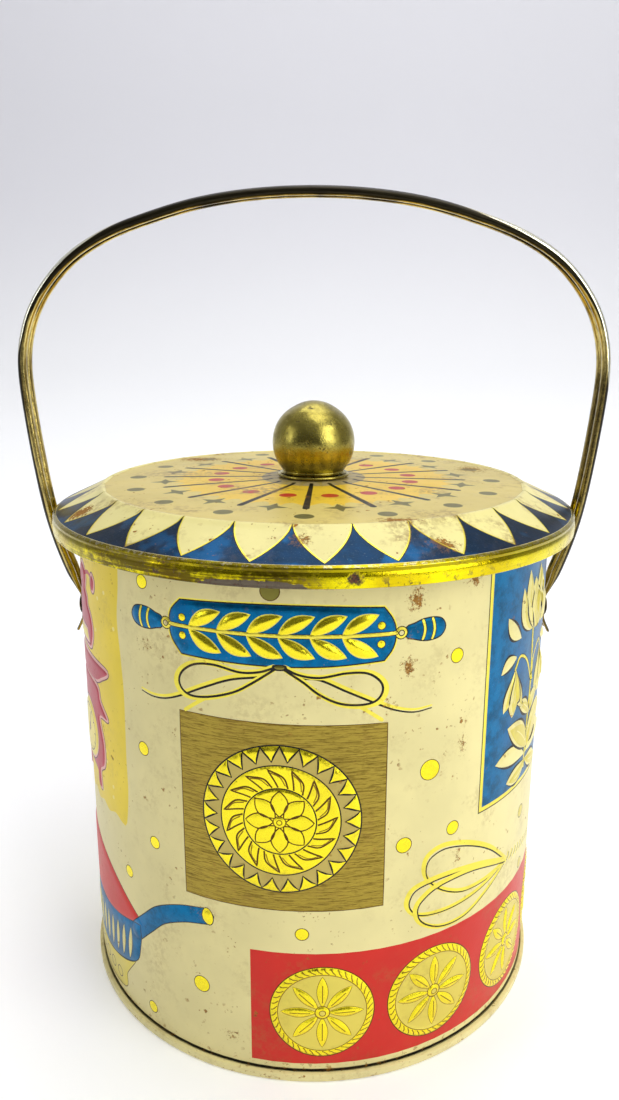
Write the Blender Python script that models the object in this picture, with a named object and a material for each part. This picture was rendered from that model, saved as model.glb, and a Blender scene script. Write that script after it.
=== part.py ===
"""Round biscuit tin with a lift-off lid, a ball knob and a swinging bail handle.

Frame: origin at the centre of the base, on the surface that the tin stands on; +Z up, the bail's pivot axis along X.
All driving sizes are in millimetres and are turned into metres by MM.
"""

import math

import bmesh
import bpy
from mathutils import Matrix, Vector

MM = 0.001

# ---------------------------------------------------------------- driving sizes (mm)
SEGS = 64                # facets round the big turned pieces, one of them square to the X axis
SHEET = 0.3              # tinplate
GAP = 0.3                # what neighbouring pieces keep clear of each other

BODY_R = 71.5            # outside of the wall
BODY_TOP = 149.9         # top of the rolled mouth bead
CURL_R = 1.1             # outside radius of the rolled mouth bead

SEAM_R = 73.0            # outside of the double seam round the base
SEAM_H = 2.3             # height of the double seam
PANEL_Z = 2.9            # underside of the base panel
BEAD_R = 56.0            # stiffening bead pressed into the base panel

RIM_R = 78.6             # outside of the lid's band
RIM_LOW = 142.6          # lower edge of the band
RIM_HIGH = 147.8         # where the band meets the bevel
BEVEL_R = 64.3           # where the bevel meets the flat top
BEVEL_Z = 154.4
SEAT_R = 12.5            # level seat for the knob
SEAT_Z = 155.5

PLUG_R = 70.7            # outside of the ring that locates the lid in the mouth
PLUG_LOW = 138.6

BALL_R = 12.6
BALL_Z = 166.05
BALL_WALL = 0.6
NECK_R = 9.5
COLLAR_R = 11.0
COLLAR_H = 0.9

SCREW_R = 1.95           # knob screw shank
SCREW_HOLE_R = 2.3
SCREW_LOW = 149.3

PIVOT_Z = 114.0          # height of the bail's pivot axis
RIVET_R = 1.5
RIVET_HOLE_R = 1.8
RIVET_HEAD_R = 3.2

STRIP_W = 7.6            # bail strip across, front to back
STRIP_T = 3.0            # bail strip through, where it is rolled to a channel
PADDLE_W = 7.4           # flattened end
PADDLE_T = 1.0
TIP_W = 8.8

# Half of the bail's centre line, from the flared tip up to the middle of the grip: (x, z)
BAIL_LINE = [
    (75.3, 106.2), (74.3, 108.3), (73.6, 110.0), (73.5, 110.9), (73.5, 117.4), (74.5, 119.6), (75.9, 122.8),
    (77.6, 127.2), (79.3, 132.0), (81.3, 139.0), (83.0, 147.0), (84.9, 160.5),
    (86.5, 175.5), (87.3, 187.5), (86.6, 195.0), (84.0, 203.5), (79.2, 211.3),
    (71.5, 219.6), (60.0, 226.4), (49.5, 230.2), (34.5, 234.6), (17.5, 237.2), (0.0, 238.0),
]


# ---------------------------------------------------------------- helpers
def clear_scene():
    for ob in list(bpy.data.objects):
        bpy.data.objects.remove(ob, do_unlink=True)
    for block in (bpy.data.meshes, bpy.data.materials):
        for item in list(block):
            block.remove(item)


def material(name, colour, roughness, metallic):
    mat = bpy.data.materials.new(name)
    mat.use_nodes = True
    bsdf = mat.node_tree.nodes["Principled BSDF"]
    bsdf.inputs["Base Color"].default_value = (*colour, 1.0)
    bsdf.inputs["Roughness"].default_value = roughness
    bsdf.inputs["Metallic"].default_value = metallic
    return mat


def to_object(name, bm, mat, origin=(0, 0, 0), smooth=True):
    """Turns a bmesh in millimetres, in the tin's frame, into an object whose origin is at the given point."""
    bmesh.ops.recalc_face_normals(bm, faces=bm.faces)
    bm.transform(Matrix.Scale(MM, 4) @ Matrix.Translation(-Vector(origin)))
    mesh = bpy.data.meshes.new(name)
    bm.to_mesh(mesh)
    bm.free()
    if smooth:
        mesh.shade_smooth()
        mesh.set_sharp_from_angle(angle=math.radians(35))
    mesh.materials.append(mat)
    ob = bpy.data.objects.new(name, mesh)
    ob.location = Vector(origin) * MM
    bpy.context.scene.collection.objects.link(ob)
    return ob


def spin_profile(points, segs, axis="Z", phase=0.5):
    """A closed (radius, height) outline turned a full circle about Z, or about X with height along +X."""
    bm = bmesh.new()
    start = -phase * 2 * math.pi / segs
    verts = [bm.verts.new((r * math.cos(start), r * math.sin(start), z)) for r, z in points]
    edges = [bm.edges.new((verts[i], verts[(i + 1) % len(verts)])) for i in range(len(verts))]
    # an edge that lies on the axis would only make faces with no area
    on_axis = [e for e in edges if all(math.hypot(v.co.x, v.co.y) < 1e-6 for v in e.verts)]
    for e in on_axis:
        bm.edges.remove(e)
    bmesh.ops.spin(
        bm, geom=[e for e in bm.edges] + [v for v in bm.verts], cent=(0, 0, 0), axis=(0, 0, 1),
        dvec=(0, 0, 0), angle=2 * math.pi, steps=segs, use_merge=False, use_duplicate=False,
    )
    bmesh.ops.remove_doubles(bm, verts=bm.verts, dist=1e-4)
    bmesh.ops.dissolve_degenerate(bm, edges=bm.edges, dist=1e-5)
    bmesh.ops.recalc_face_normals(bm, faces=bm.faces)
    if axis == "X":
        bm.transform(Matrix.Rotation(math.radians(90), 4, "Y"))
    return bm


def arc(cx, cz, r, start, end, steps):
    """Points on a circle in the (radius, height) plane, angles in degrees from +radius towards +height."""
    return [
        (cx + r * math.cos(math.radians(start + (end - start) * i / steps)),
         cz + r * math.sin(math.radians(start + (end - start) * i / steps)))
        for i in range(steps + 1)
    ]


def offset_line(points, distance):
    """The open line moved sideways by a distance, to the left of its direction, with mitred corners."""
    out = []
    for i, p in enumerate(points):
        dirs = []
        for a, b in ((i - 1, i), (i, i + 1)):
            if a >= 0 and b < len(points):
                d = Vector((points[b][0] - points[a][0], points[b][1] - points[a][1]))
                if d.length > 1e-9:
                    dirs.append(d.normalized())
        normals = [Vector((-d.y, d.x)) for d in dirs]
        n = sum(normals, Vector((0, 0))).normalized()
        n *= distance / max(0.35, n.dot(normals[0]))
        out.append((p[0] + n.x, p[1] + n.y))
    return out


def sheet_profile(points, thickness):
    """A pressed sheet: the open line and its copy one thickness to its right, joined into a closed outline."""
    return points + offset_line(points, -thickness)[::-1]


def cut(ob, cutter):
    """Takes the cutter out of the object and removes it."""
    mod = ob.modifiers.new("cut", "BOOLEAN")
    mod.operation, mod.solver, mod.object = "DIFFERENCE", "EXACT", cutter
    bpy.context.view_layer.update()
    graph = bpy.context.evaluated_depsgraph_get()
    mesh = bpy.data.meshes.new_from_object(ob.evaluated_get(graph), depsgraph=graph)
    ob.modifiers.clear()
    ob.data = mesh
    bpy.data.objects.remove(cutter, do_unlink=True)


def x_rod(radius, x0, x1, segs=20):
    """A cutter lying along X at the pivot's height."""
    bm = spin_profile([(0, x0), (radius, x0), (radius, x1), (0, x1)], segs, axis="X")
    return to_object("rod_cutter", bm, TIN, (0, 0, 0), smooth=False)


def smooth_line(points, per_span):
    """A Catmull-Rom curve through the points, mirrored at its last point, where it crosses x = 0 level."""
    pts = [Vector(p) for p in points]
    before = pts[0] * 2 - pts[1]
    after = Vector((-pts[-2].x, pts[-2].y))
    ring = [before] + pts + [after]
    out = []
    for i in range(1, len(ring) - 2):
        p0, p1, p2, p3 = ring[i - 1: i + 3]
        steps = per_span(i - 1)
        for k in range(steps):
            t = k / steps
            out.append(0.5 * (2 * p1 + (p2 - p0) * t + (2 * p0 - 5 * p1 + 4 * p2 - p3) * t ** 2
                              + (3 * p1 - p0 - 3 * p2 + p3) * t ** 3))
    out.append(pts[-1])
    return out


def ramp(x, a, b):
    t = min(1.0, max(0.0, (x - a) / (b - a)))
    return t * t * (3 - 2 * t)


# ---------------------------------------------------------------- materials
clear_scene()
CREAM = material("cream_litho", (0.78, 0.70, 0.45), 0.35, 0.0)
BLUE = material("blue_litho", (0.05, 0.13, 0.24), 0.32, 0.6)
TIN = material("bare_tinplate", (0.62, 0.60, 0.55), 0.35, 1.0)
BRASS = material("brass_finish", (0.62, 0.47, 0.18), 0.32, 1.0)
STEEL = material("plain_steel", (0.50, 0.49, 0.47), 0.45, 1.0)

# ---------------------------------------------------------------- tin body
# One sheet: body hook in the seam, straight wall, bead rolled outwards round the mouth.
curl_x, curl_z = BODY_R - SHEET + CURL_R, BODY_TOP - CURL_R
wall_line = [(72.4, SEAM_H - 0.9), (72.4, 0.75), (BODY_R - SHEET, 0.75)]
wall_line += [(BODY_R - SHEET, 60.0), (BODY_R - SHEET, curl_z)]
wall_line += arc(curl_x, curl_z, CURL_R, 180, -75, 7)[1:]
wall = to_object("body_wall", spin_profile(sheet_profile(wall_line, SHEET), SEGS), CREAM)

# Base pan: beaded panel, chuck wall up against the inside of the body, and the seam folded round the body hook.
pan_line = [
    (0.0, PANEL_Z), (BEAD_R - 2.4, PANEL_Z), (BEAD_R - 1.2, PANEL_Z + 1.0), (BEAD_R + 1.2, PANEL_Z + 1.0),
    (BEAD_R + 2.4, PANEL_Z), (69.4, PANEL_Z), (70.5, PANEL_Z - 0.6), (70.6, 0.0),
    (SEAM_R - 0.35, 0.0), (SEAM_R, 0.4), (SEAM_R, SEAM_H - 0.4), (SEAM_R - 0.35, SEAM_H), (71.9, SEAM_H),
]
pan = to_object("base_pan", spin_profile(pan_line + offset_line(pan_line, SHEET)[::-1], SEGS), CREAM)

# ---------------------------------------------------------------- lid
slope = (BEVEL_Z - RIM_HIGH) / (RIM_R - BEVEL_R)
lid_line = [
    (SCREW_HOLE_R, SEAT_Z), (SEAT_R, SEAT_Z), (SEAT_R + 2.5, SEAT_Z - 0.35), (BEVEL_R - 1.2, BEVEL_Z + 0.1),
    (BEVEL_R + 0.8, BEVEL_Z - 0.45), (RIM_R - 1.0, RIM_HIGH + 0.3), (RIM_R - 0.1, RIM_HIGH - 0.5),
    (RIM_R - 0.35, RIM_HIGH - 1.3), (RIM_R, RIM_HIGH - 1.9), (RIM_R, RIM_LOW + 0.6), (RIM_R - 0.4, RIM_LOW),
    (RIM_R - 1.0, RIM_LOW), (RIM_R - 1.35, RIM_LOW + 0.5), (RIM_R - 1.35, RIM_LOW + 1.5),
]
lid = to_object("lid_shell", spin_profile(sheet_profile(lid_line, SHEET), SEGS), BLUE)

# Ring fixed under the lid that drops into the mouth and keeps the lid central.
def under_bevel(r):
    return RIM_HIGH + (RIM_R - r) * slope - SHEET / math.cos(math.atan(slope)) - GAP - 0.05

ring_line = [
    (65.6, under_bevel(65.6)), (69.9, under_bevel(69.9)), (PLUG_R, under_bevel(PLUG_R) - 0.6),
    (PLUG_R, PLUG_LOW + 0.9), (PLUG_R - 0.5, PLUG_LOW), (PLUG_R - 1.3, PLUG_LOW + 0.2),
]
ring = to_object("lid_plug_ring", spin_profile(sheet_profile(ring_line, SHEET), SEGS), TIN)

# ---------------------------------------------------------------- knob
neck_angle = -math.degrees(math.acos(NECK_R / BALL_R))
collar_top = SEAT_Z + GAP + COLLAR_H
ball_out = arc(0, BALL_Z, BALL_R, 90, neck_angle, 12) + [(NECK_R + 0.05, collar_top + 0.75), (NECK_R + 0.75, collar_top + GAP)]
ball_out[0] = (0.0, BALL_Z + BALL_R)
inner_r = BALL_R - BALL_WALL
ball_in = [(NECK_R - 0.3, collar_top + GAP), (NECK_R - 0.65, collar_top + 1.0)]
ball_in += arc(0, BALL_Z, inner_r, neck_angle - 1, 90, 10)
ball_in[-1] = (0.0, BALL_Z + inner_r)
ball = to_object("knob_ball", spin_profile(ball_out + ball_in, 36), BRASS, (0, 0, BALL_Z))

collar_low = SEAT_Z + GAP
collar = to_object("knob_collar", spin_profile([
    (SCREW_HOLE_R, collar_low), (COLLAR_R - 0.3, collar_low), (COLLAR_R, collar_low + 0.3),
    (COLLAR_R - 0.1, collar_low + 0.65), (COLLAR_R - 0.5, collar_top), (SCREW_HOLE_R, collar_top),
], 36), BRASS)

head_low = collar_top + GAP
screw = to_object("knob_screw", spin_profile([
    (0, SCREW_LOW), (SCREW_R - 0.4, SCREW_LOW), (SCREW_R, SCREW_LOW + 0.5), (SCREW_R, head_low),
    (4.1, head_low), (4.1, head_low + 1.1), (3.2, head_low + 1.8), (0, head_low + 2.0),
], 20), STEEL)

washer_top = SEAT_Z - SHEET - GAP
washer = to_object("knob_washer", spin_profile([
    (SCREW_HOLE_R, washer_top - 0.7), (6.0, washer_top - 0.7), (6.0, washer_top), (SCREW_HOLE_R, washer_top),
], 24), STEEL)

nut_top = washer_top - 0.7 - GAP
nut_r = 3.5 / math.cos(math.radians(30))
nut_bm = bmesh.new()
bmesh.ops.create_cone(nut_bm, cap_ends=True, cap_tris=False, segments=6, radius1=nut_r, radius2=nut_r, depth=2.8,
                      matrix=Matrix.Translation((0, 0, nut_top - 1.4)))
nut = to_object("knob_nut", nut_bm, STEEL, smooth=False)
bore_bm = bmesh.new()
bmesh.ops.create_cone(bore_bm, cap_ends=True, cap_tris=False, segments=20, radius1=SCREW_HOLE_R, radius2=SCREW_HOLE_R,
                      depth=8, matrix=Matrix.Translation((0, 0, nut_top - 1.4)))
cut(nut, to_object("bore_cutter", bore_bm, STEEL, smooth=False))

# ---------------------------------------------------------------- bail handle
# A strip rolled to a channel: crowned outside, its two edges curled in, a groove between the curls. Its ends are pressed
# flat, bored for the rivets and flared at the tips.
half = smooth_line(BAIL_LINE, lambda span: 2 if 13 <= span <= 18 else 1)


def section(x_line, z_line):
    """The strip's outline at a station: (outward, across) pairs, and how open its groove is."""
    open_share = ramp(z_line, PIVOT_Z + 3.6, PIVOT_Z + 12.0)
    flare = 1 - ramp(z_line, PIVOT_Z - 8.0, PIVOT_Z - 2.0)
    w = (PADDLE_W + (TIP_W - PADDLE_W) * flare) * (1 - open_share) + STRIP_W * open_share
    t = PADDLE_T + (STRIP_T - PADDLE_T) * open_share
    h, y = t / 2, w / 2
    groove = 0.15 + 1.45 * open_share
    lip = 0.16 * w
    return [
        (h, 0.0), (h * 0.92, y * 0.5), (h * 0.45, y * 0.93), (-h * 0.35, y), (-h, y * 0.78), (-h, lip),
        (-h + groove, lip * 0.9), (-h + groove, -lip * 0.9), (-h, -lip), (-h, -y * 0.78), (-h * 0.35, -y),
        (h * 0.45, -y * 0.93), (h * 0.92, -y * 0.5),
    ]


line = [Vector((p.x, p.y)) for p in half] + [Vector((-p.x, p.y)) for p in half[-2::-1]]
bm = bmesh.new()
loops = []
for i, p in enumerate(line):
    a, b = line[max(0, i - 1)], line[min(len(line) - 1, i + 1)]
    run = (b - a).normalized()
    out = Vector((run.y, -run.x))   # outwards, away from the middle of the loop
    loops.append([
        bm.verts.new((p.x + out.x * o, y, p.y + out.y * o)) for o, y in section(abs(p.x), p.y)
    ])
count = len(loops[0])
for a, b in zip(loops, loops[1:]):
    for k in range(count):
        bm.faces.new((a[k], a[(k + 1) % count], b[(k + 1) % count], b[k]))
bm.faces.new(loops[0])
bm.faces.new(loops[-1][::-1])
bail = to_object("bail_handle", bm, BRASS, (0, 0, PIVOT_Z))
for side in (1, -1):
    rod = x_rod(RIVET_HOLE_R, side * 60, side * 90)
    rod.location = (0, 0, PIVOT_Z * MM)
    cut(bail, rod)
    rod = x_rod(RIVET_HOLE_R, side * 60, side * 80)
    rod.location = (0, 0, PIVOT_Z * MM)
    cut(wall, rod)

# ---------------------------------------------------------------- rivets and their washers
flat = math.cos(math.pi / SEGS)
wall_out, wall_in = BODY_R * flat, (BODY_R - SHEET) * flat
bail_in, bail_out = 73.5 - PADDLE_T / 2, 73.5 + PADDLE_T / 2
spacer_in, spacer_out = wall_out + GAP, bail_in - GAP
burr_out = wall_in - GAP
burr_in = burr_out - 0.6
for side, word in ((1, "right"), (-1, "left")):
    def x_turned(points, segs):
        b = spin_profile(points, segs, axis="X")
        if side < 0:
            b.transform(Matrix.Rotation(math.pi, 4, "Z"))
        b.transform(Matrix.Translation((0, 0, PIVOT_Z)))
        return b

    head = bail_out + GAP
    tail = burr_in - GAP
    to_object(f"handle_rivet_{word}", x_turned([
        (0, head + 0.7), (1.5, head + 0.6), (2.6, head + 0.35), (RIVET_HEAD_R, head), (RIVET_R, head), (RIVET_R, tail),
        (2.7, tail), (2.5, tail - 0.6), (1.6, tail - 1.0), (0, tail - 1.05),
    ], 20), BRASS, (0, 0, PIVOT_Z))
    to_object(f"rivet_washer_{word}", x_turned([
        (RIVET_HOLE_R, burr_in), (4.2, burr_in), (4.2, burr_out), (RIVET_HOLE_R, burr_out)], 24), STEEL, (0, 0, PIVOT_Z))
    to_object(f"spacer_washer_{word}", x_turned([
        (RIVET_HOLE_R, spacer_in), (3.4, spacer_in), (3.4, spacer_out), (RIVET_HOLE_R, spacer_out)], 24), BRASS, (0, 0, PIVOT_Z))
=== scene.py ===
"""Looks for the round biscuit tin: printed and embossed tinplate, a lacquered lid, a brass knob and a brass bail."""

import math

import bmesh
import bpy
import numpy as np
from mathutils import Matrix, Vector, geometry


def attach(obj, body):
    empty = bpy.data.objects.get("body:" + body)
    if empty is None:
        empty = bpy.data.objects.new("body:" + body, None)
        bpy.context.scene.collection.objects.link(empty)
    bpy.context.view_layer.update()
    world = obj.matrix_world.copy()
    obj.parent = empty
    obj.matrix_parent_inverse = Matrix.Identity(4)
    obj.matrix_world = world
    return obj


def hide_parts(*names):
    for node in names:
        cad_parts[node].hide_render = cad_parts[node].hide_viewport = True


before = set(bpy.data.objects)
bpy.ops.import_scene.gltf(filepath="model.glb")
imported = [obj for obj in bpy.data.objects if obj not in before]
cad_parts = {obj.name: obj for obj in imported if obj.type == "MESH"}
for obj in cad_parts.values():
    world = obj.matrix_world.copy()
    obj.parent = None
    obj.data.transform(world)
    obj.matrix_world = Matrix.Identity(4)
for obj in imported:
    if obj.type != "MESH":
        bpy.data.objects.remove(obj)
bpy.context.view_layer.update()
MM = 0.001
PI = math.pi

# ------------------------------------------------------------------ sizes that the CAD fixes (mm)
R = 71.5                       # outside of the wall
Z_LOW, Z_HIGH = 1.9, 147.6    # the printed part of the wall
RIM = 78.6
PIVOT = 114.0
KNOB_Z, KNOB_R = 166.05, 12.6


def srgb(r, g, b):
    return tuple(((c / 255) / 12.92) if c <= 10 else (((c / 255) + 0.055) / 1.055) ** 2.4 for c in (r, g, b))


# ink: colour, metallic, roughness, pattern (0 plain, 0.5 mottled, 1 wood grain)
INKS = {
    "cream": (srgb(232, 219, 156), 0.0, 0.36, 0.0),
    "petal": (srgb(236, 224, 150), 0.0, 0.36, 0.0),
    "topcream": (srgb(216, 195, 110), 0.0, 0.38, 0.0),
    "dulled": (srgb(172, 154, 104), 0.1, 0.42, 0.0),
    "umber": (srgb(138, 108, 26), 0.6, 0.35, 0.0),
    "trim": (srgb(238, 222, 78), 0.6, 0.3, 0.0),
    "gold": (srgb(244, 226, 44), 0.96, 0.27, 0.0),
    "softgold": (srgb(222, 206, 96), 0.85, 0.33, 0.0),
    "blue": (srgb(0, 108, 158), 0.88, 0.33, 0.5),
    "lidblue": (srgb(0, 44, 76), 0.85, 0.33, 0.5),
    "black": (srgb(16, 15, 9), 0.0, 0.42, 0.0),
    "brown": (srgb(88, 60, 12), 0.6, 0.35, 0.0),
    "red": (srgb(206, 44, 34), 0.25, 0.36, 0.0),
    "wood": (srgb(168, 146, 58), 0.8, 0.36, 1.0),
    "tan": (srgb(190, 170, 92), 0.45, 0.36, 0.0),
    "olive": (srgb(124, 118, 52), 0.8, 0.38, 0.0),
    "yellow": (srgb(238, 210, 40), 0.1, 0.38, 0.0),
    "amber": (srgb(238, 199, 52), 0.15, 0.36, 0.0),
    "lemon": (srgb(245, 226, 130), 0.1, 0.38, 0.0),
    "rose": (srgb(182, 58, 74), 0.35, 0.36, 0.0),
    "blush": (srgb(222, 170, 160), 0.35, 0.34, 0.0),
    "maroon": (srgb(96, 26, 34), 0.3, 0.38, 0.0),
    "dot": (srgb(190, 44, 22), 0.1, 0.36, 0.0),
    "steel": (srgb(196, 194, 186), 1.0, 0.3, 0.0),
    "inside": (srgb(206, 198, 172), 1.0, 0.34, 0.0),
}


# ------------------------------------------------------------------ flat drawing
def curve(points, step=0.7, closed=False):
    """A Catmull-Rom curve through the points, with a point about every step."""
    p = np.asarray(points, float)
    n = len(p)
    if closed:
        idx = lambda i: p[i % n]
        spans = n
    else:
        ext = np.vstack([2 * p[0] - p[1], p, 2 * p[-1] - p[-2]])
        idx = lambda i: ext[i + 1]
        spans = n - 1
    out = []
    for i in range(spans):
        a, b, c, d = idx(i - 1), idx(i), idx(i + 1), idx(i + 2)
        k = max(1, int(math.ceil(np.hypot(*(c - b)) / step)))
        for j in range(k):
            t = j / k
            out.append(0.5 * (2 * b + (c - a) * t + (2 * a - 5 * b + 4 * c - d) * t * t + (3 * b - a - 3 * c + d) * t ** 3))
    if not closed:
        out.append(p[-1])
    return np.array(out)


def straight(points, step=3.0, closed=False):
    p = np.asarray(points, float)
    q = np.vstack([p, p[:1]]) if closed else p
    out = []
    for a, b in zip(q[:-1], q[1:]):
        k = max(1, int(math.ceil(np.hypot(*(b - a)) / step)))
        out += [a + (b - a) * j / k for j in range(k)]
    if not closed:
        out.append(q[-1])
    return np.array(out)


def circle(x, y, r, n=None, ry=None, turn=0.0):
    n = n or max(12, int(2 * PI * r / 0.7))
    a = np.arange(n) * 2 * PI / n
    ry = r if ry is None else ry
    px, py = r * np.cos(a), ry * np.sin(a)
    c, s = math.cos(turn), math.sin(turn)
    return np.stack([x + px * c - py * s, y + px * s + py * c], 1)


def ribbon(points, width, closed=False, round_ends=True, taper=None):
    """A line of a given width as one outline; taper gives the width's share along it."""
    p = np.asarray(points, float)
    n = len(p)
    if closed:
        t = np.roll(p, -1, 0) - np.roll(p, 1, 0)
    else:
        t = np.gradient(p, axis=0)
    t /= np.maximum(1e-9, np.hypot(t[:, 0], t[:, 1]))[:, None]
    nrm = np.stack([-t[:, 1], t[:, 0]], 1)
    w = np.full(n, width / 2.0)
    if taper is not None:
        w = w * taper(np.linspace(0, 1, n))
    left, right = p + nrm * w[:, None], p - nrm * w[:, None]
    if closed:
        return [left, right]
    ends = []
    if round_ends and width > 0.5:
        for e, d, s in ((p[-1], t[-1], w[-1]), (p[0], -t[0], w[0])):
            m = np.array([-d[1], d[0]])
            ends.append([e + (m * math.cos(a) + d * math.sin(a)) * s for a in (PI * 0.25, PI * 0.5, PI * 0.75)])
    else:
        ends = [[], []]
    return [np.array(list(left) + ends[0] + list(right[::-1]) + ends[1])]


def leaf(base, tip, width, bend=0.0, full=0.45, n=9):
    """A leaf outline from its base to its tip, its middle bowed sideways by bend."""
    a, b = np.asarray(base, float), np.asarray(tip, float)
    d = b - a
    length = np.hypot(*d)
    d = d / length
    m = np.array([-d[1], d[0]])
    t = np.linspace(0, 1, n)
    mid = a + np.outer(t * length, d) + np.outer(4 * t * (1 - t) * bend, m)
    half = width / 2 * np.sin(PI * t ** (math.log(0.5) / math.log(full))) ** 0.85
    up, low = mid + m * half[:, None], mid - m * half[:, None]
    return np.vstack([up, low[::-1][1:-1]]), mid


class Art:
    """Outlines in painting order, and the heights that they are pressed to."""

    def __init__(self):
        self.paint, self.press = [], []

    def fill(self, pts, ink, height=0.0, edge=0.6):
        self.paint.append(([np.asarray(pts, float)], ink))
        if height:
            self.press.append((np.asarray(pts, float), height, edge))

    def line(self, pts, width, ink, closed=False, height=0.0, taper=None):
        loops = ribbon(pts, width, closed, taper=taper)
        self.paint.append((loops, ink))
        if height and not closed:
            self.press.append((loops[0], height, width * 0.45))

    def raise_only(self, pts, height, edge):
        self.press.append((np.asarray(pts, float), height, edge))


def winding(points, loop):
    """Which points lie inside the loop, by winding number."""
    x, y = points[:, 0], points[:, 1]
    w = np.zeros(len(points), int)
    q = np.roll(loop, -1, 0)
    for (x1, y1), (x2, y2) in zip(loop, q):
        if y1 == y2:
            continue
        side = (x2 - x1) * (y - y1) - (x - x1) * (y2 - y1)
        w += ((y1 <= y) & (y2 > y) & (side > 0)).astype(int)
        w -= ((y1 > y) & (y2 <= y) & (side < 0)).astype(int)
    return w != 0


def near(points, loop, reach):
    """Distance from each point to the loop, no more than reach."""
    best = np.full(len(points), reach * reach)
    q = np.roll(loop, -1, 0)
    for a, b in zip(loop, q):
        d = b - a
        dd = float(d @ d)
        if dd < 1e-12:
            continue
        t = np.clip(((points - a) @ d) / dd, 0, 1)
        e = points - a - t[:, None] * d
        best = np.minimum(best, (e * e).sum(1))
    return np.sqrt(best)


def pressed(points, press):
    h = np.zeros(len(points))
    for loop, height, edge in press:
        lo, hi = loop.min(0), loop.max(0)
        m = np.nonzero((points[:, 0] > lo[0]) & (points[:, 0] < hi[0]) & (points[:, 1] > lo[1]) & (points[:, 1] < hi[1]))[0]
        if not len(m):
            continue
        m = m[winding(points[m], loop)]
        if not len(m):
            continue
        s = near(points[m], loop, edge) / edge
        h[m] += height * np.sin(s * PI / 2) ** 1.2
    return h


def lattice(lo, hi, step):
    rows = np.arange(lo[1], hi[1], step * 0.866)
    out = []
    for i, y in enumerate(rows):
        xs = np.arange(lo[0] + (step / 2 if i % 2 else 0), hi[0], step)
        out.append(np.stack([xs, np.full(len(xs), y)], 1))
    return np.vstack(out) if out else np.zeros((0, 2))


def triangulate(art, border_loops, ground, fine, keep, base="cream"):
    """Cuts the sheet along every outline. Gives the flat points, triangles and the ink of each triangle."""
    pts, edges = [], []
    count = 0
    for loop in border_loops + [l for loops, _ in art.paint for l in loops]:
        n = len(loop)
        pts.append(loop)
        edges += [(count + i, count + (i + 1) % n) for i in range(n)]
        count += n
    extra = [ground]
    for loop, _, edge in art.press:
        lat = lattice(loop.min(0), loop.max(0), fine if edge < 1.5 else fine * 1.5)
        if len(lat):
            lat = lat[winding(lat, loop)]
            if len(lat):
                lat = lat[near(lat, loop, 1.0) > fine * 0.35]
                extra.append(lat)
    pts += extra
    allp = np.vstack(pts)
    coords = [Vector((float(a), float(b))) for a, b in allp]
    v, e, f, _, _, _ = geometry.delaunay_2d_cdt(coords, edges, [], 0, 1e-4, False)
    v = np.array([(a.x, a.y) for a in v])
    f = np.array(f)
    mid = v[f].mean(1)
    ok = keep(mid)
    f, mid = f[ok], mid[ok]
    names = list(INKS)
    ink = np.full(len(f), names.index(base))
    order = np.argsort(mid[:, 0])
    sx = mid[order, 0]
    for loops, name in art.paint:
        allxy = np.vstack(loops)
        lo, hi = allxy.min(0), allxy.max(0)
        a, b = np.searchsorted(sx, lo[0]), np.searchsorted(sx, hi[0])
        m = order[a:b]
        m = m[(mid[m, 1] > lo[1]) & (mid[m, 1] < hi[1])]
        if not len(m):
            continue
        if len(loops) == 1:
            sel = winding(mid[m], loops[0])
        else:
            sel = winding(mid[m], loops[0]) ^ winding(mid[m], loops[1])
        ink[m[sel]] = names.index(name)
    return v, f, ink


# ------------------------------------------------------------------ meshes
def add_object(name, verts, faces, mats, body, replaces=(), inks=None, flat=None, face_mat=None, sharp=None):
    me = bpy.data.meshes.new(name)
    me.from_pydata([tuple(v) for v in verts], [], [tuple(int(i) for i in f) for f in faces])
    me.update()
    for m in mats:
        me.materials.append(m)
    if face_mat is not None:
        me.polygons.foreach_set("material_index", np.asarray(face_mat, dtype=np.int32))
    loops = np.zeros(len(me.loops), dtype=np.int32)
    me.loops.foreach_get("vertex_index", loops)
    if inks is not None:
        names = list(INKS)
        table = np.array([[*INKS[k][0], 1.0] for k in names], np.float32)
        fin = np.array([[INKS[k][1], INKS[k][2], INKS[k][3], 1.0] for k in names], np.float32)
        sizes = np.zeros(len(me.polygons), dtype=np.int32)
        me.polygons.foreach_get("loop_total", sizes)
        per = np.repeat(np.asarray(inks), sizes)
        for label, data in (("ink", table), ("fin", fin)):
            at = me.color_attributes.new(label, "FLOAT_COLOR", "CORNER")
            at.data.foreach_set("color", data[per].ravel())
    if flat is not None:
        at = me.attributes.new("flat", "FLOAT_VECTOR", "CORNER")
        vec = np.zeros((len(loops), 3), np.float32)
        vec[:, :2] = np.asarray(flat, np.float32)[loops]
        at.data.foreach_set("vector", vec.ravel())
    me.shade_smooth()
    if sharp:
        me.set_sharp_from_angle(angle=math.radians(sharp))
    ob = bpy.data.objects.new(name, me)
    bpy.context.scene.collection.objects.link(ob)
    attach(ob, body)
    if replaces:
        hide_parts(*replaces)
    return ob


def rings_to_mesh(rings, n, closed=True):
    """Quads between rings of n points, listed so that their outsides face out when the outline runs clockwise in (r, z)."""
    faces = []
    k = len(rings)
    for i in range(k if closed else k - 1):
        a, b = rings[i], rings[(i + 1) % k]
        for j in range(n):
            faces.append((a[j], a[(j + 1) % n], b[(j + 1) % n], b[j]))
    return faces


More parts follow.
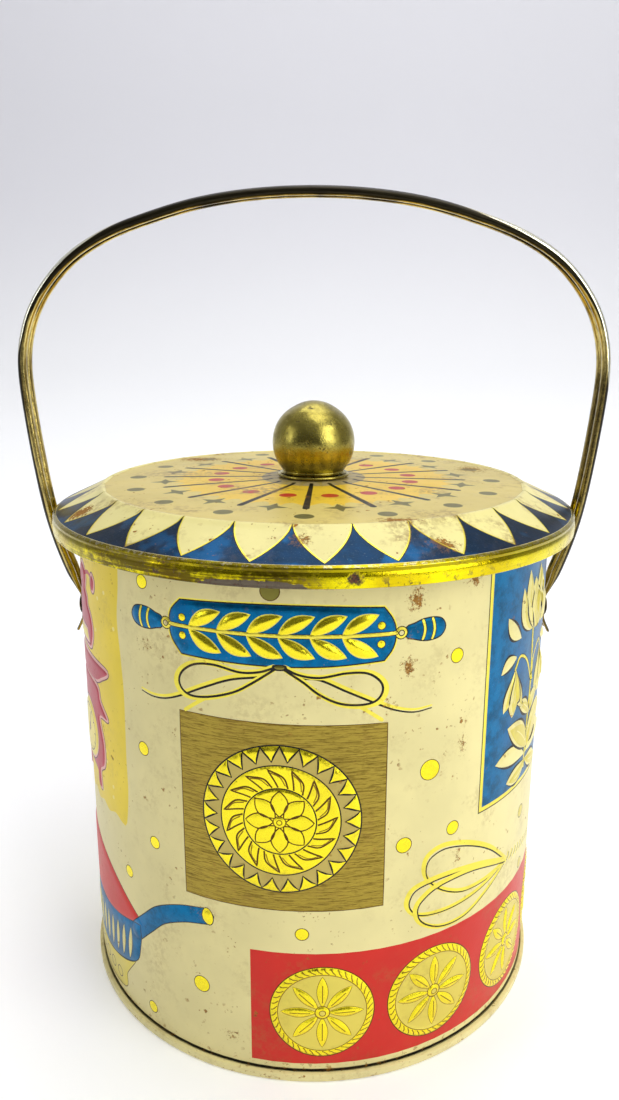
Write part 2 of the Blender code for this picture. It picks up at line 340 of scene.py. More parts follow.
def turned(name, profile, n, mats, body, replaces=(), slot=None, ink=None, sharp=40, axis="Z", at=(0, 0, 0), flip=False, shape=None):
    """A closed (radius, height) outline turned about Z, or about X; points at radius 0 become one vertex."""
    verts, rings = [], []
    for r, z in profile:
        if r < 1e-6:
            rings.append([len(verts)] * n)
            verts.append((0.0, 0.0, z))
            continue
        ring = []
        for j in range(n):
            t = (j + 0.5) * 2 * PI / n
            ring.append(len(verts))
            verts.append((r * math.sin(t), -r * math.cos(t), z))
        rings.append(ring)
    if shape:
        verts = [shape(Vector(v)) for v in verts]
    bm = bmesh.new()
    vs = [bm.verts.new(v) for v in verts]
    k = len(rings)
    for i in range(k):
        a, b = rings[i], rings[(i + 1) % k]
        if len(set(a)) == 1 and len(set(b)) == 1:
            continue
        for j in range(n):
            q = []
            for w in (a[j], a[(j + 1) % n], b[(j + 1) % n], b[j]):
                if w not in q:
                    q.append(w)
            if len(q) > 2:
                bm.faces.new([vs[w] for w in q])
    bmesh.ops.recalc_face_normals(bm, faces=bm.faces)
    if axis == "X":
        bm.transform(Matrix.Rotation(math.radians(90), 4, "Y"))
    if flip:
        bm.transform(Matrix.Rotation(PI, 4, "Z"))
    bm.transform(Matrix.Scale(MM, 4) @ Matrix.Translation(Vector(at)))
    me = bpy.data.meshes.new(name)
    bm.to_mesh(me)
    bm.free()
    for m in mats:
        me.materials.append(m)
    if ink:
        for label, v in (("ink", (*INKS[ink][0], 1.0)), ("fin", (*INKS[ink][1:], 1.0))):
            attr = me.color_attributes.new(label, "FLOAT_COLOR", "CORNER")
            attr.data.foreach_set("color", np.tile(np.array(v, np.float32), len(me.loops)))
    me.shade_smooth()
    me.set_sharp_from_angle(angle=math.radians(sharp))
    ob = bpy.data.objects.new(name, me)
    bpy.context.scene.collection.objects.link(ob)
    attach(ob, body)
    if replaces:
        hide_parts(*replaces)
    return ob


# ------------------------------------------------------------------ materials
class Nodes:
    def __init__(self, name):
        self.mat = bpy.data.materials.new(name)
        self.mat.use_nodes = True
        self.t = self.mat.node_tree
        self.bsdf = self.t.nodes["Principled BSDF"]
        tc = self.t.nodes.new("ShaderNodeTexCoord")
        mp = self.t.nodes.new("ShaderNodeMapping")
        mp.inputs["Scale"].default_value = (1000, 1000, 1000)
        self.t.links.new(tc.outputs["Object"], mp.inputs["Vector"])
        self.pos = mp.outputs["Vector"]          # object space, in mm

    def put(self, sock, value):
        if isinstance(value, bpy.types.NodeSocket):
            self.t.links.new(value, sock)
        elif isinstance(value, (tuple, list)):
            sock.default_value = tuple(value) if len(value) == len(sock.default_value) else (*value, 1.0)
        else:
            sock.default_value = value

    def math(self, op, a, b=0.0, clamp=False):
        n = self.t.nodes.new("ShaderNodeMath")
        n.operation, n.use_clamp = op, clamp
        self.put(n.inputs[0], a)
        self.put(n.inputs[1], b)
        return n.outputs[0]

    def scale(self, vec, x, y, z):
        n = self.t.nodes.new("ShaderNodeMapping")
        n.inputs["Scale"].default_value = (x, y, z)
        self.put(n.inputs["Vector"], vec)
        return n.outputs["Vector"]

    def noise(self, scale, detail=3.0, rough=0.55, vec=None, distort=0.0):
        n = self.t.nodes.new("ShaderNodeTexNoise")
        n.inputs["Scale"].default_value = scale
        n.inputs["Detail"].default_value = detail
        n.inputs["Roughness"].default_value = rough
        n.inputs["Distortion"].default_value = distort
        self.put(n.inputs["Vector"], self.pos if vec is None else vec)
        return n.outputs["Fac"]

    def voronoi(self, scale, vec=None, feature="F1"):
        n = self.t.nodes.new("ShaderNodeTexVoronoi")
        n.feature = feature
        n.inputs["Scale"].default_value = scale
        self.put(n.inputs["Vector"], self.pos if vec is None else vec)
        return n.outputs["Distance"]

    def warp(self, vec, scale, amount):
        """The vector pushed about by noise, so that round spots turn ragged."""
        n = self.t.nodes.new("ShaderNodeTexNoise")
        n.inputs["Scale"].default_value = scale
        n.inputs["Detail"].default_value = 3.0
        self.put(n.inputs["Vector"], vec)
        k = self.t.nodes.new("ShaderNodeVectorMath")
        k.operation = "MULTIPLY_ADD"
        self.put(k.inputs[0], n.outputs["Color"])
        k.inputs[1].default_value = (amount, amount, amount)
        self.put(k.inputs[2], vec)
        return k.outputs[0]

    def spread(self, vec, cx, cy, rx, ry):
        """Distance from a place on the flat sheet, as a share of the given reach."""
        k = self.t.nodes.new("ShaderNodeVectorMath")
        k.operation = "MULTIPLY_ADD"
        self.put(k.inputs[0], vec)
        k.inputs[1].default_value = (1 / rx, 1 / ry, 0)
        k.inputs[2].default_value = (-cx / rx, -cy / ry, 0)
        n = self.t.nodes.new("ShaderNodeVectorMath")
        n.operation = "LENGTH"
        self.put(n.inputs[0], k.outputs[0])
        return n.outputs["Value"]

    def ramp(self, value, lo, hi, a=0.0, b=1.0):
        n = self.t.nodes.new("ShaderNodeMapRange")
        n.interpolation_type = "SMOOTHSTEP"
        self.put(n.inputs["Value"], value)
        for k, v in (("From Min", lo), ("From Max", hi), ("To Min", a), ("To Max", b)):
            n.inputs[k].default_value = v
        return n.outputs["Result"]

    def mix(self, fac, a, b, blend="MIX"):
        n = self.t.nodes.new("ShaderNodeMix")
        n.data_type, n.blend_type = "RGBA", blend
        self.put(n.inputs[0], fac)
        self.put(n.inputs[6], a)
        self.put(n.inputs[7], b)
        return n.outputs[2]

    def attr(self, name):
        n = self.t.nodes.new("ShaderNodeAttribute")
        n.attribute_name = name
        return n

    def split(self, color):
        n = self.t.nodes.new("ShaderNodeSeparateColor")
        self.put(n.inputs[0], color)
        return n.outputs

    def xyz(self, vec):
        n = self.t.nodes.new("ShaderNodeSeparateXYZ")
        self.put(n.inputs[0], vec)
        return n.outputs

    def bump(self, height, distance, strength=1.0, base=None):
        n = self.t.nodes.new("ShaderNodeBump")
        n.inputs["Distance"].default_value = distance
        n.inputs["Strength"].default_value = strength
        self.put(n.inputs["Height"], height)
        if base is not None:
            self.put(n.inputs["Normal"], base)
        return n.outputs["Normal"]

    def out(self, color, rough, metal, normal=None, **consts):
        self.put(self.bsdf.inputs["Base Color"], color)
        self.put(self.bsdf.inputs["Roughness"], rough)
        self.put(self.bsdf.inputs["Metallic"], metal)
        if normal is not None:
            self.put(self.bsdf.inputs["Normal"], normal)
        for k, v in consts.items():
            self.bsdf.inputs[k.replace("_", " ")].default_value = v
        return self.mat


RUST = srgb(160, 108, 34)
DIRT = srgb(112, 84, 44)


def litho(name, specks=1.0, low_edge=None, stains=0.6, patches=()):
    """Printed, varnished tinplate that has been used: inks by area, specks of rust, scuffs and faint dents."""
    m = Nodes(name)
    ink = m.attr("ink").outputs["Color"]
    fin = m.split(m.attr("fin").outputs["Color"])
    metal, rough, pattern = fin[0], fin[1], fin[2]
    flat = m.attr("flat").outputs["Vector"]
    wood = m.math("GREATER_THAN", pattern, 0.75)
    mottle = m.math("MULTIPLY", m.math("GREATER_THAN", pattern, 0.25), m.math("LESS_THAN", pattern, 0.75))
    # slow fading of the inks
    fade = m.ramp(m.noise(0.045, 3), 0.3, 0.7, 0.93, 1.04)
    col = m.mix(1.0, ink, m.mix(1.0, (1, 1, 1), fade, "MULTIPLY"), "MULTIPLY")
    # grain, long along the wall and fine up it
    grain_a = m.noise(1.0, 4, 0.62, m.scale(flat, 0.16, 2.3, 1.0), 0.6)
    grain_b = m.noise(1.0, 3, 0.7, m.scale(flat, 0.5, 5.2, 1.0), 0.3)
    grain = m.math("MULTIPLY", m.ramp(grain_a, 0.44, 0.62), 0.55)
    grain = m.math("ADD", grain, m.math("MULTIPLY", m.ramp(grain_b, 0.52, 0.66), 0.5), clamp=True)
    col = m.mix(m.math("MULTIPLY", grain, wood), col, srgb(84, 62, 18))
    # mottled transparent blue over bright plate
    cloud = m.ramp(m.noise(0.22, 5, 0.7), 0.38, 0.66)
    col = m.mix(m.math("MULTIPLY", m.math("MULTIPLY", cloud, mottle), 0.5), col, srgb(4, 32, 48))
    wipe = m.ramp(m.noise(1.1, 4, 0.75), 0.6, 0.8)
    col = m.mix(m.math("MULTIPLY", m.math("MULTIPLY", wipe, mottle), 0.3), col, srgb(10, 118, 168))
    bright = m.math("MULTIPLY", m.ramp(m.noise(0.075, 3, 0.6), 0.50, 0.62), m.math("MULTIPLY", mottle, 0.5))
    col = m.mix(bright, col, srgb(0, 96, 152))
    # pale pin-point wear in the same ink
    worn_blue = m.math("MULTIPLY", m.ramp(m.noise(2.3, 4, 0.8), 0.63, 0.69), m.math("MULTIPLY", mottle, min(0.6, 0.3 * specks)))
    col = m.mix(worn_blue, col, srgb(150, 172, 176))
    # warm staining in large soft patches
    stain = m.math("MULTIPLY", m.ramp(m.noise(0.06, 5, 0.62), 0.47, 0.68), 0.55 * stains)
    stain = m.math("MULTIPLY", stain, m.math("SUBTRACT", 1.0, m.math("MULTIPLY", mottle, 0.9)))
    col = m.mix(m.math("MULTIPLY", stain, m.ramp(m.noise(0.55, 5, 0.72), 0.40, 0.62)), col, srgb(150, 118, 62))
    # rust: small ragged spots gathered in loose groups, and a few chafed places
    bent = m.warp(m.pos, 1.1, 1.6)
    where = m.ramp(m.noise(0.075, 3, 0.6), 0.46, 0.60)
    dots = m.math("MULTIPLY", m.ramp(m.voronoi(0.34, bent), 0.13, 0.22, 1.0, 0.0), m.ramp(m.noise(0.21, 2), 0.50, 0.58))
    fine = m.math("MULTIPLY", m.ramp(m.voronoi(0.85, bent), 0.15, 0.26, 1.0, 0.0), m.ramp(m.noise(0.33, 2), 0.56, 0.63))
    rust = m.math("MULTIPLY", m.math("MAXIMUM", dots, m.math("MULTIPLY", fine, 0.8)), m.math("ADD", m.math("MULTIPLY", where, 0.85 * specks), 0.10 * specks), clamp=True)
    speckle = m.noise(0.95, 6, 0.78)
    for (cx, cy), (rx, ry), amount in patches:
        d = m.spread(flat, cx, cy, rx, ry)
        hit = m.ramp(m.math("ADD", m.math("MULTIPLY", m.math("SUBTRACT", 1.0, d, clamp=True), 0.42 * amount), speckle), 0.70, 0.80)
        rust = m.math("MAXIMUM", rust, m.math("MULTIPLY", hit, 0.97))
    # the foil inks keep better than the plain ones
    rust = m.math("MULTIPLY", rust, m.math("SUBTRACT", 1.0, m.math("MULTIPLY", metal, 0.78)))
    if low_edge is not None:
        z = m.xyz(m.pos)[2]
        edge = m.ramp(z, low_edge[0], low_edge[1], 1.0, 0.0)
        worn = m.math("MULTIPLY", m.math("MULTIPLY", edge, 0.8), m.ramp(m.noise(0.5, 5, 0.72), 0.56, 0.66))
        rust = m.math("MAXIMUM", rust, worn)
    shade = m.mix(m.ramp(m.noise(1.7, 4, 0.7), 0.46, 0.66), RUST, srgb(92, 58, 18))
    col = m.mix(rust, col, shade)
    metal_out = m.math("MULTIPLY", metal, m.math("SUBTRACT", 1.0, rust))
    # fine handling scratches show in the varnish
    scratch = m.ramp(m.noise(1.0, 3, 0.7, m.scale(m.pos, 0.35, 0.35, 3.5), 1.2), 0.62, 0.72)
    r_out = m.math("ADD", rough, m.math("MULTIPLY", m.noise(0.35, 4, 0.65), 0.12))
    r_out = m.math("ADD", r_out, m.math("MULTIPLY", scratch, 0.08))
    r_out = m.math("ADD", r_out, m.math("MULTIPLY", rust, 0.4))
    r_out = m.math("SUBTRACT", r_out, 0.06, clamp=True)
    n = m.bump(m.noise(0.035, 2, 0.5), 0.0011, 0.55)
    n = m.bump(m.math("SUBTRACT", m.noise(1.6, 3, 0.6), m.math("MULTIPLY", rust, 0.8)), 0.00006, 0.5, n)
    return m.out(col, r_out, metal_out, n, Coat_Weight=0.05, Coat_Roughness=0.16, Specular_IOR_Level=0.22)


def band_gold(name):
    """Yellow lacquer over bright plate, worn to dark and to bare metal along the lower edge, most of all at the front
    left, where painted shade darkens it too.
    """
    m = Nodes(name)
    x, y, z = m.xyz(m.pos)[:3]
    wear_n = m.noise(0.28, 6, 0.72)
    low = m.ramp(z, 142.6, 146.4, 1.0, 0.0)
    front = m.math("LESS_THAN", y, 0.0)
    # bare patch towards the front left of the lower edge
    dx = m.math("DIVIDE", m.math("ADD", x, 14.0), 19.0)
    patch = m.math("SUBTRACT", 1.0, m.math("MULTIPLY", dx, dx), clamp=True)
    patch = m.math("MULTIPLY", m.math("MULTIPLY", patch, front), low)
    bare = m.ramp(m.math("ADD", patch, m.math("MULTIPLY", wear_n, 0.5)), 0.73, 0.79)
    # painted shade over the front left, broken up with darker blotches of wear
    left_shade_and_wear = m.math("MULTIPLY", m.math("MULTIPLY", m.ramp(x, -74.0, -50.0), m.ramp(x, -8.0, 9.0, 1.0, 0.0)), front)
    col = m.mix(m.ramp(m.noise(0.08, 4), 0.35, 0.7), srgb(234, 218, 10), srgb(206, 182, 8))
    streak = m.noise(1.0, 5, 0.74, m.scale(m.pos, 0.05, 0.05, 1.7))
    col = m.mix(m.math("MULTIPLY", m.ramp(streak, 0.50, 0.74), m.math("ADD", 0.22, m.math("MULTIPLY", left_shade_and_wear, 0.4))), col, srgb(132, 106, 8))
    brownish = m.math("MULTIPLY", left_shade_and_wear, m.ramp(m.math("ADD", m.math("MULTIPLY", streak, 0.6), m.math("MULTIPLY", wear_n, 0.5)), 0.42, 0.58))
    col = m.mix(m.math("MULTIPLY", brownish, 0.9), col, srgb(70, 54, 12))
    # painted shade: the band darkens towards its upper corner
    col = m.mix(m.math("MULTIPLY", m.ramp(z, 145.3, 147.0), 0.62), col, srgb(112, 98, 8))
    spots = m.ramp(m.noise(0.5, 6, 0.78), 0.54, 0.63)
    where = m.math("ADD", m.math("MULTIPLY", m.ramp(m.noise(0.04, 2), 0.48, 0.62), 0.4), m.math("ADD", m.math("MULTIPLY", low, 0.4), m.math("MULTIPLY", left_shade_and_wear, 0.45)))
    dark = m.math("MULTIPLY", spots, where, clamp=True)
    # worn upper corner, where the band turns into the bevel
    lip = m.math("MULTIPLY", m.ramp(z, 147.3, 147.7), m.ramp(m.noise(0.7, 5, 0.75), 0.50, 0.60))
    col = m.mix(bare, col, srgb(98, 88, 74))
    col = m.mix(m.math("MULTIPLY", lip, 0.5), col, srgb(190, 184, 160))
    # one deep chip right of the middle
    d = m.spread(m.pos, 9.6, 0.0, 4.0, 900.0)
    zc = m.math("DIVIDE", m.math("SUBTRACT", z, 145.0), 2.5)
    far = m.math("ADD", d, m.math("MULTIPLY", zc, zc))
    chip = m.math("MULTIPLY", m.ramp(m.math("ADD", far, m.math("MULTIPLY", m.noise(0.9, 4, 0.7), 1.4)), 0.95, 1.35, 1.0, 0.0), front)
    dark = m.math("MAXIMUM", dark, chip)
    col = m.mix(dark, col, m.mix(m.ramp(m.noise(1.3, 3), 0.45, 0.6), srgb(44, 26, 10), srgb(96, 50, 18)))
    metal = m.math("SUBTRACT", 1.0, m.math("MULTIPLY", dark, 0.85))
    rough = m.math("ADD", m.math("MULTIPLY", m.noise(0.6, 4), 0.16), m.math("ADD", 0.13, m.math("MULTIPLY", m.math("MAXIMUM", dark, m.math("MULTIPLY", brownish, 0.4)), 0.45)))
    n = m.bump(m.noise(0.1, 3), 0.0006, 0.45)
    n = m.bump(m.math("SUBTRACT", m.noise(1.2, 3), dark), 0.00009, 0.6, n)
    return m.out(col, rough, metal, n, Coat_Weight=0.1, Coat_Roughness=0.12)


def brass(name, base, tarnish, amount, rough0, streaks=False, pits=True):
    m = Nodes(name)
    cloud = m.ramp(m.noise(0.16, 5, 0.68), 0.32, 0.72)
    fine = m.noise(0.9, 5, 0.7)
    col = m.mix(m.math("MULTIPLY", cloud, amount), base, tarnish)
    col = m.mix(m.ramp(fine, 0.5, 0.8, 0.0, 0.5), col, tarnish)
    dark = m.ramp(m.noise(0.42, 6, 0.75), 0.61, 0.70)
    if streaks:
        # tarnish runs along the strip: up the sides and across the top of the arch
        z = m.xyz(m.pos)[2]
        side = m.noise(1.0, 5, 0.72, m.scale(m.pos, 0.5, 1.5, 0.06))
        top = m.noise(1.0, 5, 0.72, m.scale(m.pos, 0.06, 1.5, 0.5))
        over = m.ramp(z, 205.0, 226.0)
        line = m.math("ADD", m.math("MULTIPLY", side, m.math("SUBTRACT", 1.0, over)), m.math("MULTIPLY", top, over))
        streak = m.ramp(line, 0.48, 0.60)
        # the worst of it is over the top
        heavy = m.math("ADD", 0.55, m.math("MULTIPLY", m.ramp(z, 200.0, 236.0), 0.4))
        dark = m.math("MAXIMUM", m.math("MULTIPLY", streak, heavy), m.math("MULTIPLY", dark, 0.85))
    if pits:
        pit = m.ramp(m.voronoi(0.17), 0.10, 0.20, 1.0, 0.0)
        pit = m.math("MULTIPLY", pit, m.ramp(m.noise(0.9, 3), 0.42, 0.6))
        grit = m.math("MULTIPLY", m.ramp(m.voronoi(0.62), 0.12, 0.22, 1.0, 0.0), m.ramp(m.noise(0.3, 3), 0.50, 0.62))
        dark = m.math("MAXIMUM", dark, m.math("MAXIMUM", pit, m.math("MULTIPLY", grit, 0.7)))
    col = m.mix(m.math("MULTIPLY", dark, 0.88), col, srgb(40, 27, 8))
    rough = m.math("ADD", m.math("MULTIPLY", cloud, 0.14), rough0)
    rough = m.math("ADD", rough, m.math("MULTIPLY", dark, 0.28))
    metal = m.math("SUBTRACT", 1.0, m.math("MULTIPLY", dark, 0.5))
    n = m.bump(m.noise(0.22, 3), 0.0005, 0.4)
    n = m.bump(m.math("SUBTRACT", m.noise(2.2, 3), dark), 0.00008, 0.6, n)
    return m.out(col, rough, metal, n)


def rolled_brass(name):
    """Polished strip with a painted dark reflection along its outer shoulder, a line at the sides and most of its width
    over the top, and a painted highlight on the outer edge at the shoulders.
    """
    m = Nodes(name)
    outward, run = m.xyz(m.attr("flat").outputs["Vector"])[:2]
    z = m.xyz(m.pos)[2]
    lay = m.attr("flat").outputs["Vector"]
    streak = m.noise(1.0, 5, 0.72, m.scale(lay, 2.6, 0.05, 1.0))
    fine = m.noise(1.0, 4, 0.75, m.scale(lay, 5.0, 0.22, 1.0))
    x = m.xyz(m.pos)[0]
    col = m.mix(m.ramp(streak, 0.42, 0.62), srgb(214, 193, 118), srgb(134, 113, 60))
    col = m.mix(m.ramp(fine, 0.50, 0.63, 0.0, 0.65), col, srgb(66, 52, 26))
    # the right arm is the duller one
    col = m.mix(m.math("MULTIPLY", m.ramp(x, 60.0, 80.0), m.ramp(z, 192.0, 182.0, 0.0, 0.55)), col, srgb(70, 56, 28))
    over = m.ramp(z, 186.0, 222.0)
    # painted highlight: a near-white outer edge where it bends at the shoulders, more on the right
    highlight_right = m.math("MULTIPLY", m.ramp(x, 28.0, 64.0), m.ramp(z, 176.0, 190.0))
    highlight_left = m.math("MULTIPLY", m.ramp(x, -74.0, -42.0, 1.0, 0.0), m.ramp(z, 184.0, 198.0))
    # painted dark reflection across the outward face, over most of the width at the top, stopping where the shoulder
    # highlight starts; the blots added below are tarnish
    reach = m.math("SUBTRACT", 0.02, m.math("MULTIPLY", over, 0.92))
    limit = m.math("SUBTRACT", 1.3, m.math("ADD", m.math("MULTIPLY", highlight_right, 1.32), m.math("MULTIPLY", highlight_left, 1.12)))
    waver = m.math("MULTIPLY", m.math("SUBTRACT", streak, 0.5), 0.8)
    low_side = m.ramp(m.math("ADD", m.math("SUBTRACT", outward, reach), waver), -0.06, 0.12)
    high_side = m.ramp(m.math("SUBTRACT", m.math("SUBTRACT", limit, outward), m.math("MULTIPLY", waver, 0.35)), -0.05, 0.08)
    dark = m.math("MULTIPLY", low_side, high_side)
    col = m.mix(m.math("MULTIPLY", m.math("MAXIMUM", highlight_right, highlight_left), m.math("SUBTRACT", 1.0, high_side)), col, srgb(255, 252, 230))
    blot = m.ramp(m.noise(0.35, 6, 0.76), 0.60, 0.68)
    dark = m.math("MAXIMUM", dark, m.math("MULTIPLY", blot, 0.7))
    col = m.mix(m.math("MULTIPLY", dark, 0.97), col, srgb(14, 10, 4))
    rough = m.math("ADD", 0.15, m.math("MULTIPLY", m.noise(0.5, 4, 0.7), 0.12))
    rough = m.math("ADD", rough, m.math("MULTIPLY", dark, 0.12))
    n = m.bump(m.noise(0.3, 3), 0.0003, 0.35)
    n = m.bump(m.math("SUBTRACT", fine, dark), 0.00005, 0.5, n)
    return m.out(col, rough, m.math("SUBTRACT", 1.0, m.math("MULTIPLY", dark, 0.3)), n, Specular_IOR_Level=0.3)


def bare_plate(name, base, rough0=0.26):
    m = Nodes(name)
    brushed = m.noise(1.0, 4, 0.65, m.scale(m.pos, 0.3, 0.3, 2.0))
    cloud = m.noise(0.09, 4, 0.6)
    col = m.mix(m.ramp(cloud, 0.3, 0.7, 0.0, 0.4), base, tuple(c * 0.62 for c in base))
    rust = m.math("MULTIPLY", m.ramp(m.noise(0.6, 5, 0.72), 0.63, 0.70), m.ramp(cloud, 0.45, 0.62))
    col = m.mix(rust, col, RUST)
    rough = m.math("ADD", m.math("MULTIPLY", brushed, 0.14), rough0)
    rough = m.math("ADD", rough, m.math("MULTIPLY", rust, 0.4))
    n = m.bump(brushed, 0.00003, 0.5)
    return m.out(col, rough, m.math("SUBTRACT", 1.0, rust), n)


LITHO = litho("printed_tinplate", 1.0, (2.4, 7.5), 0.45, (
    ((25.5, 137.0), (5.0, 7.0), 0.82), ((24.0, 119.5), (4.5, 6.0), 0.8), ((24.5, 128.0), (4.0, 5.0), 0.55), ((19.0, 110.5), (4.0, 5.0), 0.62), ((43.0, 139.5), (6.0, 5.0), 0.7), ((-46.0, 121.0), (7.0, 5.0), 0.55), ((41.5, 95.0), (4.0, 9.0), 0.6),
    ((-31.0, 47.5), (7.0, 4.0), 0.6), ((-22.0, 11.0), (6.0, 5.0), 0.62), ((41.0, 62.0), (4.0, 7.0), 0.6), ((120.0, 128.0), (8.0, 9.0), 0.9),
    ((-160.0, 60.0), (9.0, 7.0), 0.9), ((205.0, 90.0), (7.0, 14.0), 0.8)))
LID_LITHO = litho("printed_lid", 1.5, None, 1.5, (
    ((-64.0, -33.0), (6.0, 6.0), 1.2), ((21.0, -58.0), (10.0, 5.0), 0.95), ((31.0, -66.0), (8.0, 5.0), 0.95), ((-3.0, -69.0), (6.0, 5.0), 0.8),
    ((-40.0, 40.0), (16.0, 10.0), 0.9), ((52.0, 20.0), (10.0, 14.0), 0.8)))
SEAM = litho("printed_seam", 1.4, (0.2, 3.2), 0.8)
BAND = band_gold("gold_band")
INSIDE = bare_plate("lacquered_inside", srgb(205, 196, 165), 0.27)
KNOB = brass("knob_brass", srgb(182, 168, 82), srgb(114, 102, 42), 0.75, 0.2)
RIVET = brass("rivet_brass", srgb(150, 126, 60), srgb(90, 70, 28), 0.8, 0.22, pits=False)
BAIL = rolled_brass("bail_brass")
STEEL = bare_plate("zinc_steel", srgb(186, 184, 176), 0.3)


# ------------------------------------------------------------------ motifs on the wall
def rolling_pin(art, cx, cz):
    """A blue rolling pin with a leafy stem; cx, cz is its middle."""
    def P(pts):
        return [(cx + x, cz + z) for x, z in pts]
    barrel = np.vstack([
        curve(P([(-25.6, 6.7), (-12, 7.35), (0, 7.6), (12, 7.4), (25.6, 6.7)]), 1.5),
        curve(P([(25.6, 6.7), (27.9, 3.4), (28.7, 0.0), (28.0, -3.6), (25.9, -6.6)]), 1.0)[1:],
        curve(P([(25.9, -6.6), (12, -7.5), (0, -7.7), (-12, -7.55), (-25.6, -7.2)]), 1.5)[1:],
        curve(P([(-25.6, -7.2), (-28.3, -3.6), (-29.0, 0.0), (-28.4, 3.6), (-25.6, 6.7)]), 1.0)[1:-1],
    ])
    art.line(barrel, 1.3, "trim", closed=True)
    art.line(barrel, 0.7, "black", closed=True)
    art.fill(barrel, "blue", 0.3, 1.4)
    for s in (-1, 1):
        grip = curve(P([(s * 31.7, 1.25), (s * 33.6, 1.9), (s * 36.2, 2.75), (s * 39.0, 2.85), (s * 41.3, 2.2), (s * 42.4, 0.2),
                        (s * 41.4, -1.8), (s * 39.0, -2.65), (s * 36.2, -2.6), (s * 33.6, -1.9), (s * 31.7, -1.25)]), 0.8, True)
        art.line(grip, 0.65, "black", closed=True)
        art.fill(grip, "blue", 0.28, 1.2)
        for off, h in ((36.0, 2.5), (38.7, 2.65)):
            stripe = curve(P([(s * off, h), (s * (off + 0.45), 0.1), (s * off, -h + 0.2)]), 0.8)
            art.line(stripe, 1.05, "black")
            art.line(stripe, 0.62, "trim")
        art.fill(circle(cx + s * 30.2, cz, 1.75), "black")
        art.fill(circle(cx + s * 30.2, cz, 1.5), "trim", 0.2, 0.5)
        art.fill(circle(cx + s * 30.2, cz, 0.85), "black")
        art.fill(circle(cx + s * 30.2, cz, 0.6), "cream")
        for dz in (2.35, -2.35):
            art.fill(circle(cx + s * 25.0, cz + dz, 1.12), "black")
            art.fill(circle(cx + s * 25.0, cz + dz, 0.92), "gold", 0.15, 0.5)
    stem = straight(P([(-28.8, 0.1), (28.8, 0.1)]), 2.0)
    art.line(stem, 1.25, "black")
    art.line(stem, 0.85, "trim", height=0.15)
    for k in range(6):
        x = -23.0 + k * 7.72
        for s, dz, wd in ((1, 5.0, 3.1), (-1, -5.3, 3.3)):
            out, mid = leaf((cx + x, cz + 0.35 * s), (cx + x + 8.4, cz + dz), wd, bend=0.55 * s, full=0.5, n=13)
            grown, _ = leaf((cx + x - 0.25, cz + 0.3 * s), (cx + x + 8.75, cz + dz * 1.03), wd + 0.75, bend=0.55 * s, full=0.5, n=13)
            art.fill(grown, "trim")
            art.fill(out, "gold", 0.62, 1.5)


def bow(art, cx, cz):
    """A tied ribbon: a gold line with a dark line beside it."""
    def go(pts, w, ink, **k):
        art.line(curve([(cx + x, cz + z) for x, z in pts], 0.8), w, ink, **k)
    loops = {
        1: [(1.2, 0.2), (5.0, -1.6), (10.2, -2.3), (16.8, -1.2), (22.2, -1.5), (25.6, -3.9), (26.4, -6.6), (24.9, -9.2),
            (21.2, -10.2), (15.4, -9.6), (10.1, -7.0), (6.0, -3.6), (1.4, -0.4)],
        -1: [(-1.2, 0.2), (-5.3, -1.3), (-10.4, -1.8), (-17.4, -0.6), (-23.0, -1.3), (-26.8, -3.9), (-28.0, -6.9), (-26.8, -9.4),
             (-23.8, -10.5), (-18.6, -9.8), (-12.1, -7.6), (-7.2, -4.6), (-1.4, -0.4)],
    }
    tails = {1: [(4.0, -2.0), (9.6, -2.2), (16.4, -5.4), (23.4, -8.8), (28.5, -11.2), (33.9, -12.6), (39.0, -12.3)],
             -1: [(-5.0, -2.0), (-12.4, -3.4), (-20.0, -6.6), (-27.0, -10.1), (-31.8, -11.9), (-36.2, -12.4), (-40.2, -11.8)]}
    for s in (-1, 1):
        go(tails[s], 1.0, "trim", taper=lambda t: 1 - 0.6 * t ** 3)
        go([(x, z - 0.75) for x, z in tails[s]], 0.6, "black", taper=lambda t: 1 - 0.5 * t ** 3)
        go([(s * 19.6, -10.2), (s * 22.4, -12.1), (s * 25.4, -14.3)], 1.0, "trim")
        go(loops[s], 1.35, "trim")
        go([(x * 0.965, z * 0.94 - 0.25) for x, z in loops[s]], 0.62, "black")
    art.fill(curve([(cx - 1.7, cz + 0.6), (cx, cz + 0.85), (cx + 1.7, cz + 0.6), (cx + 1.7, cz - 0.6), (cx, cz - 0.85), (cx - 1.7, cz - 0.6)], 0.6, True), "black")
    art.fill(circle(cx, cz, 1.25, ry=0.5), "olive", 0.15, 0.4)


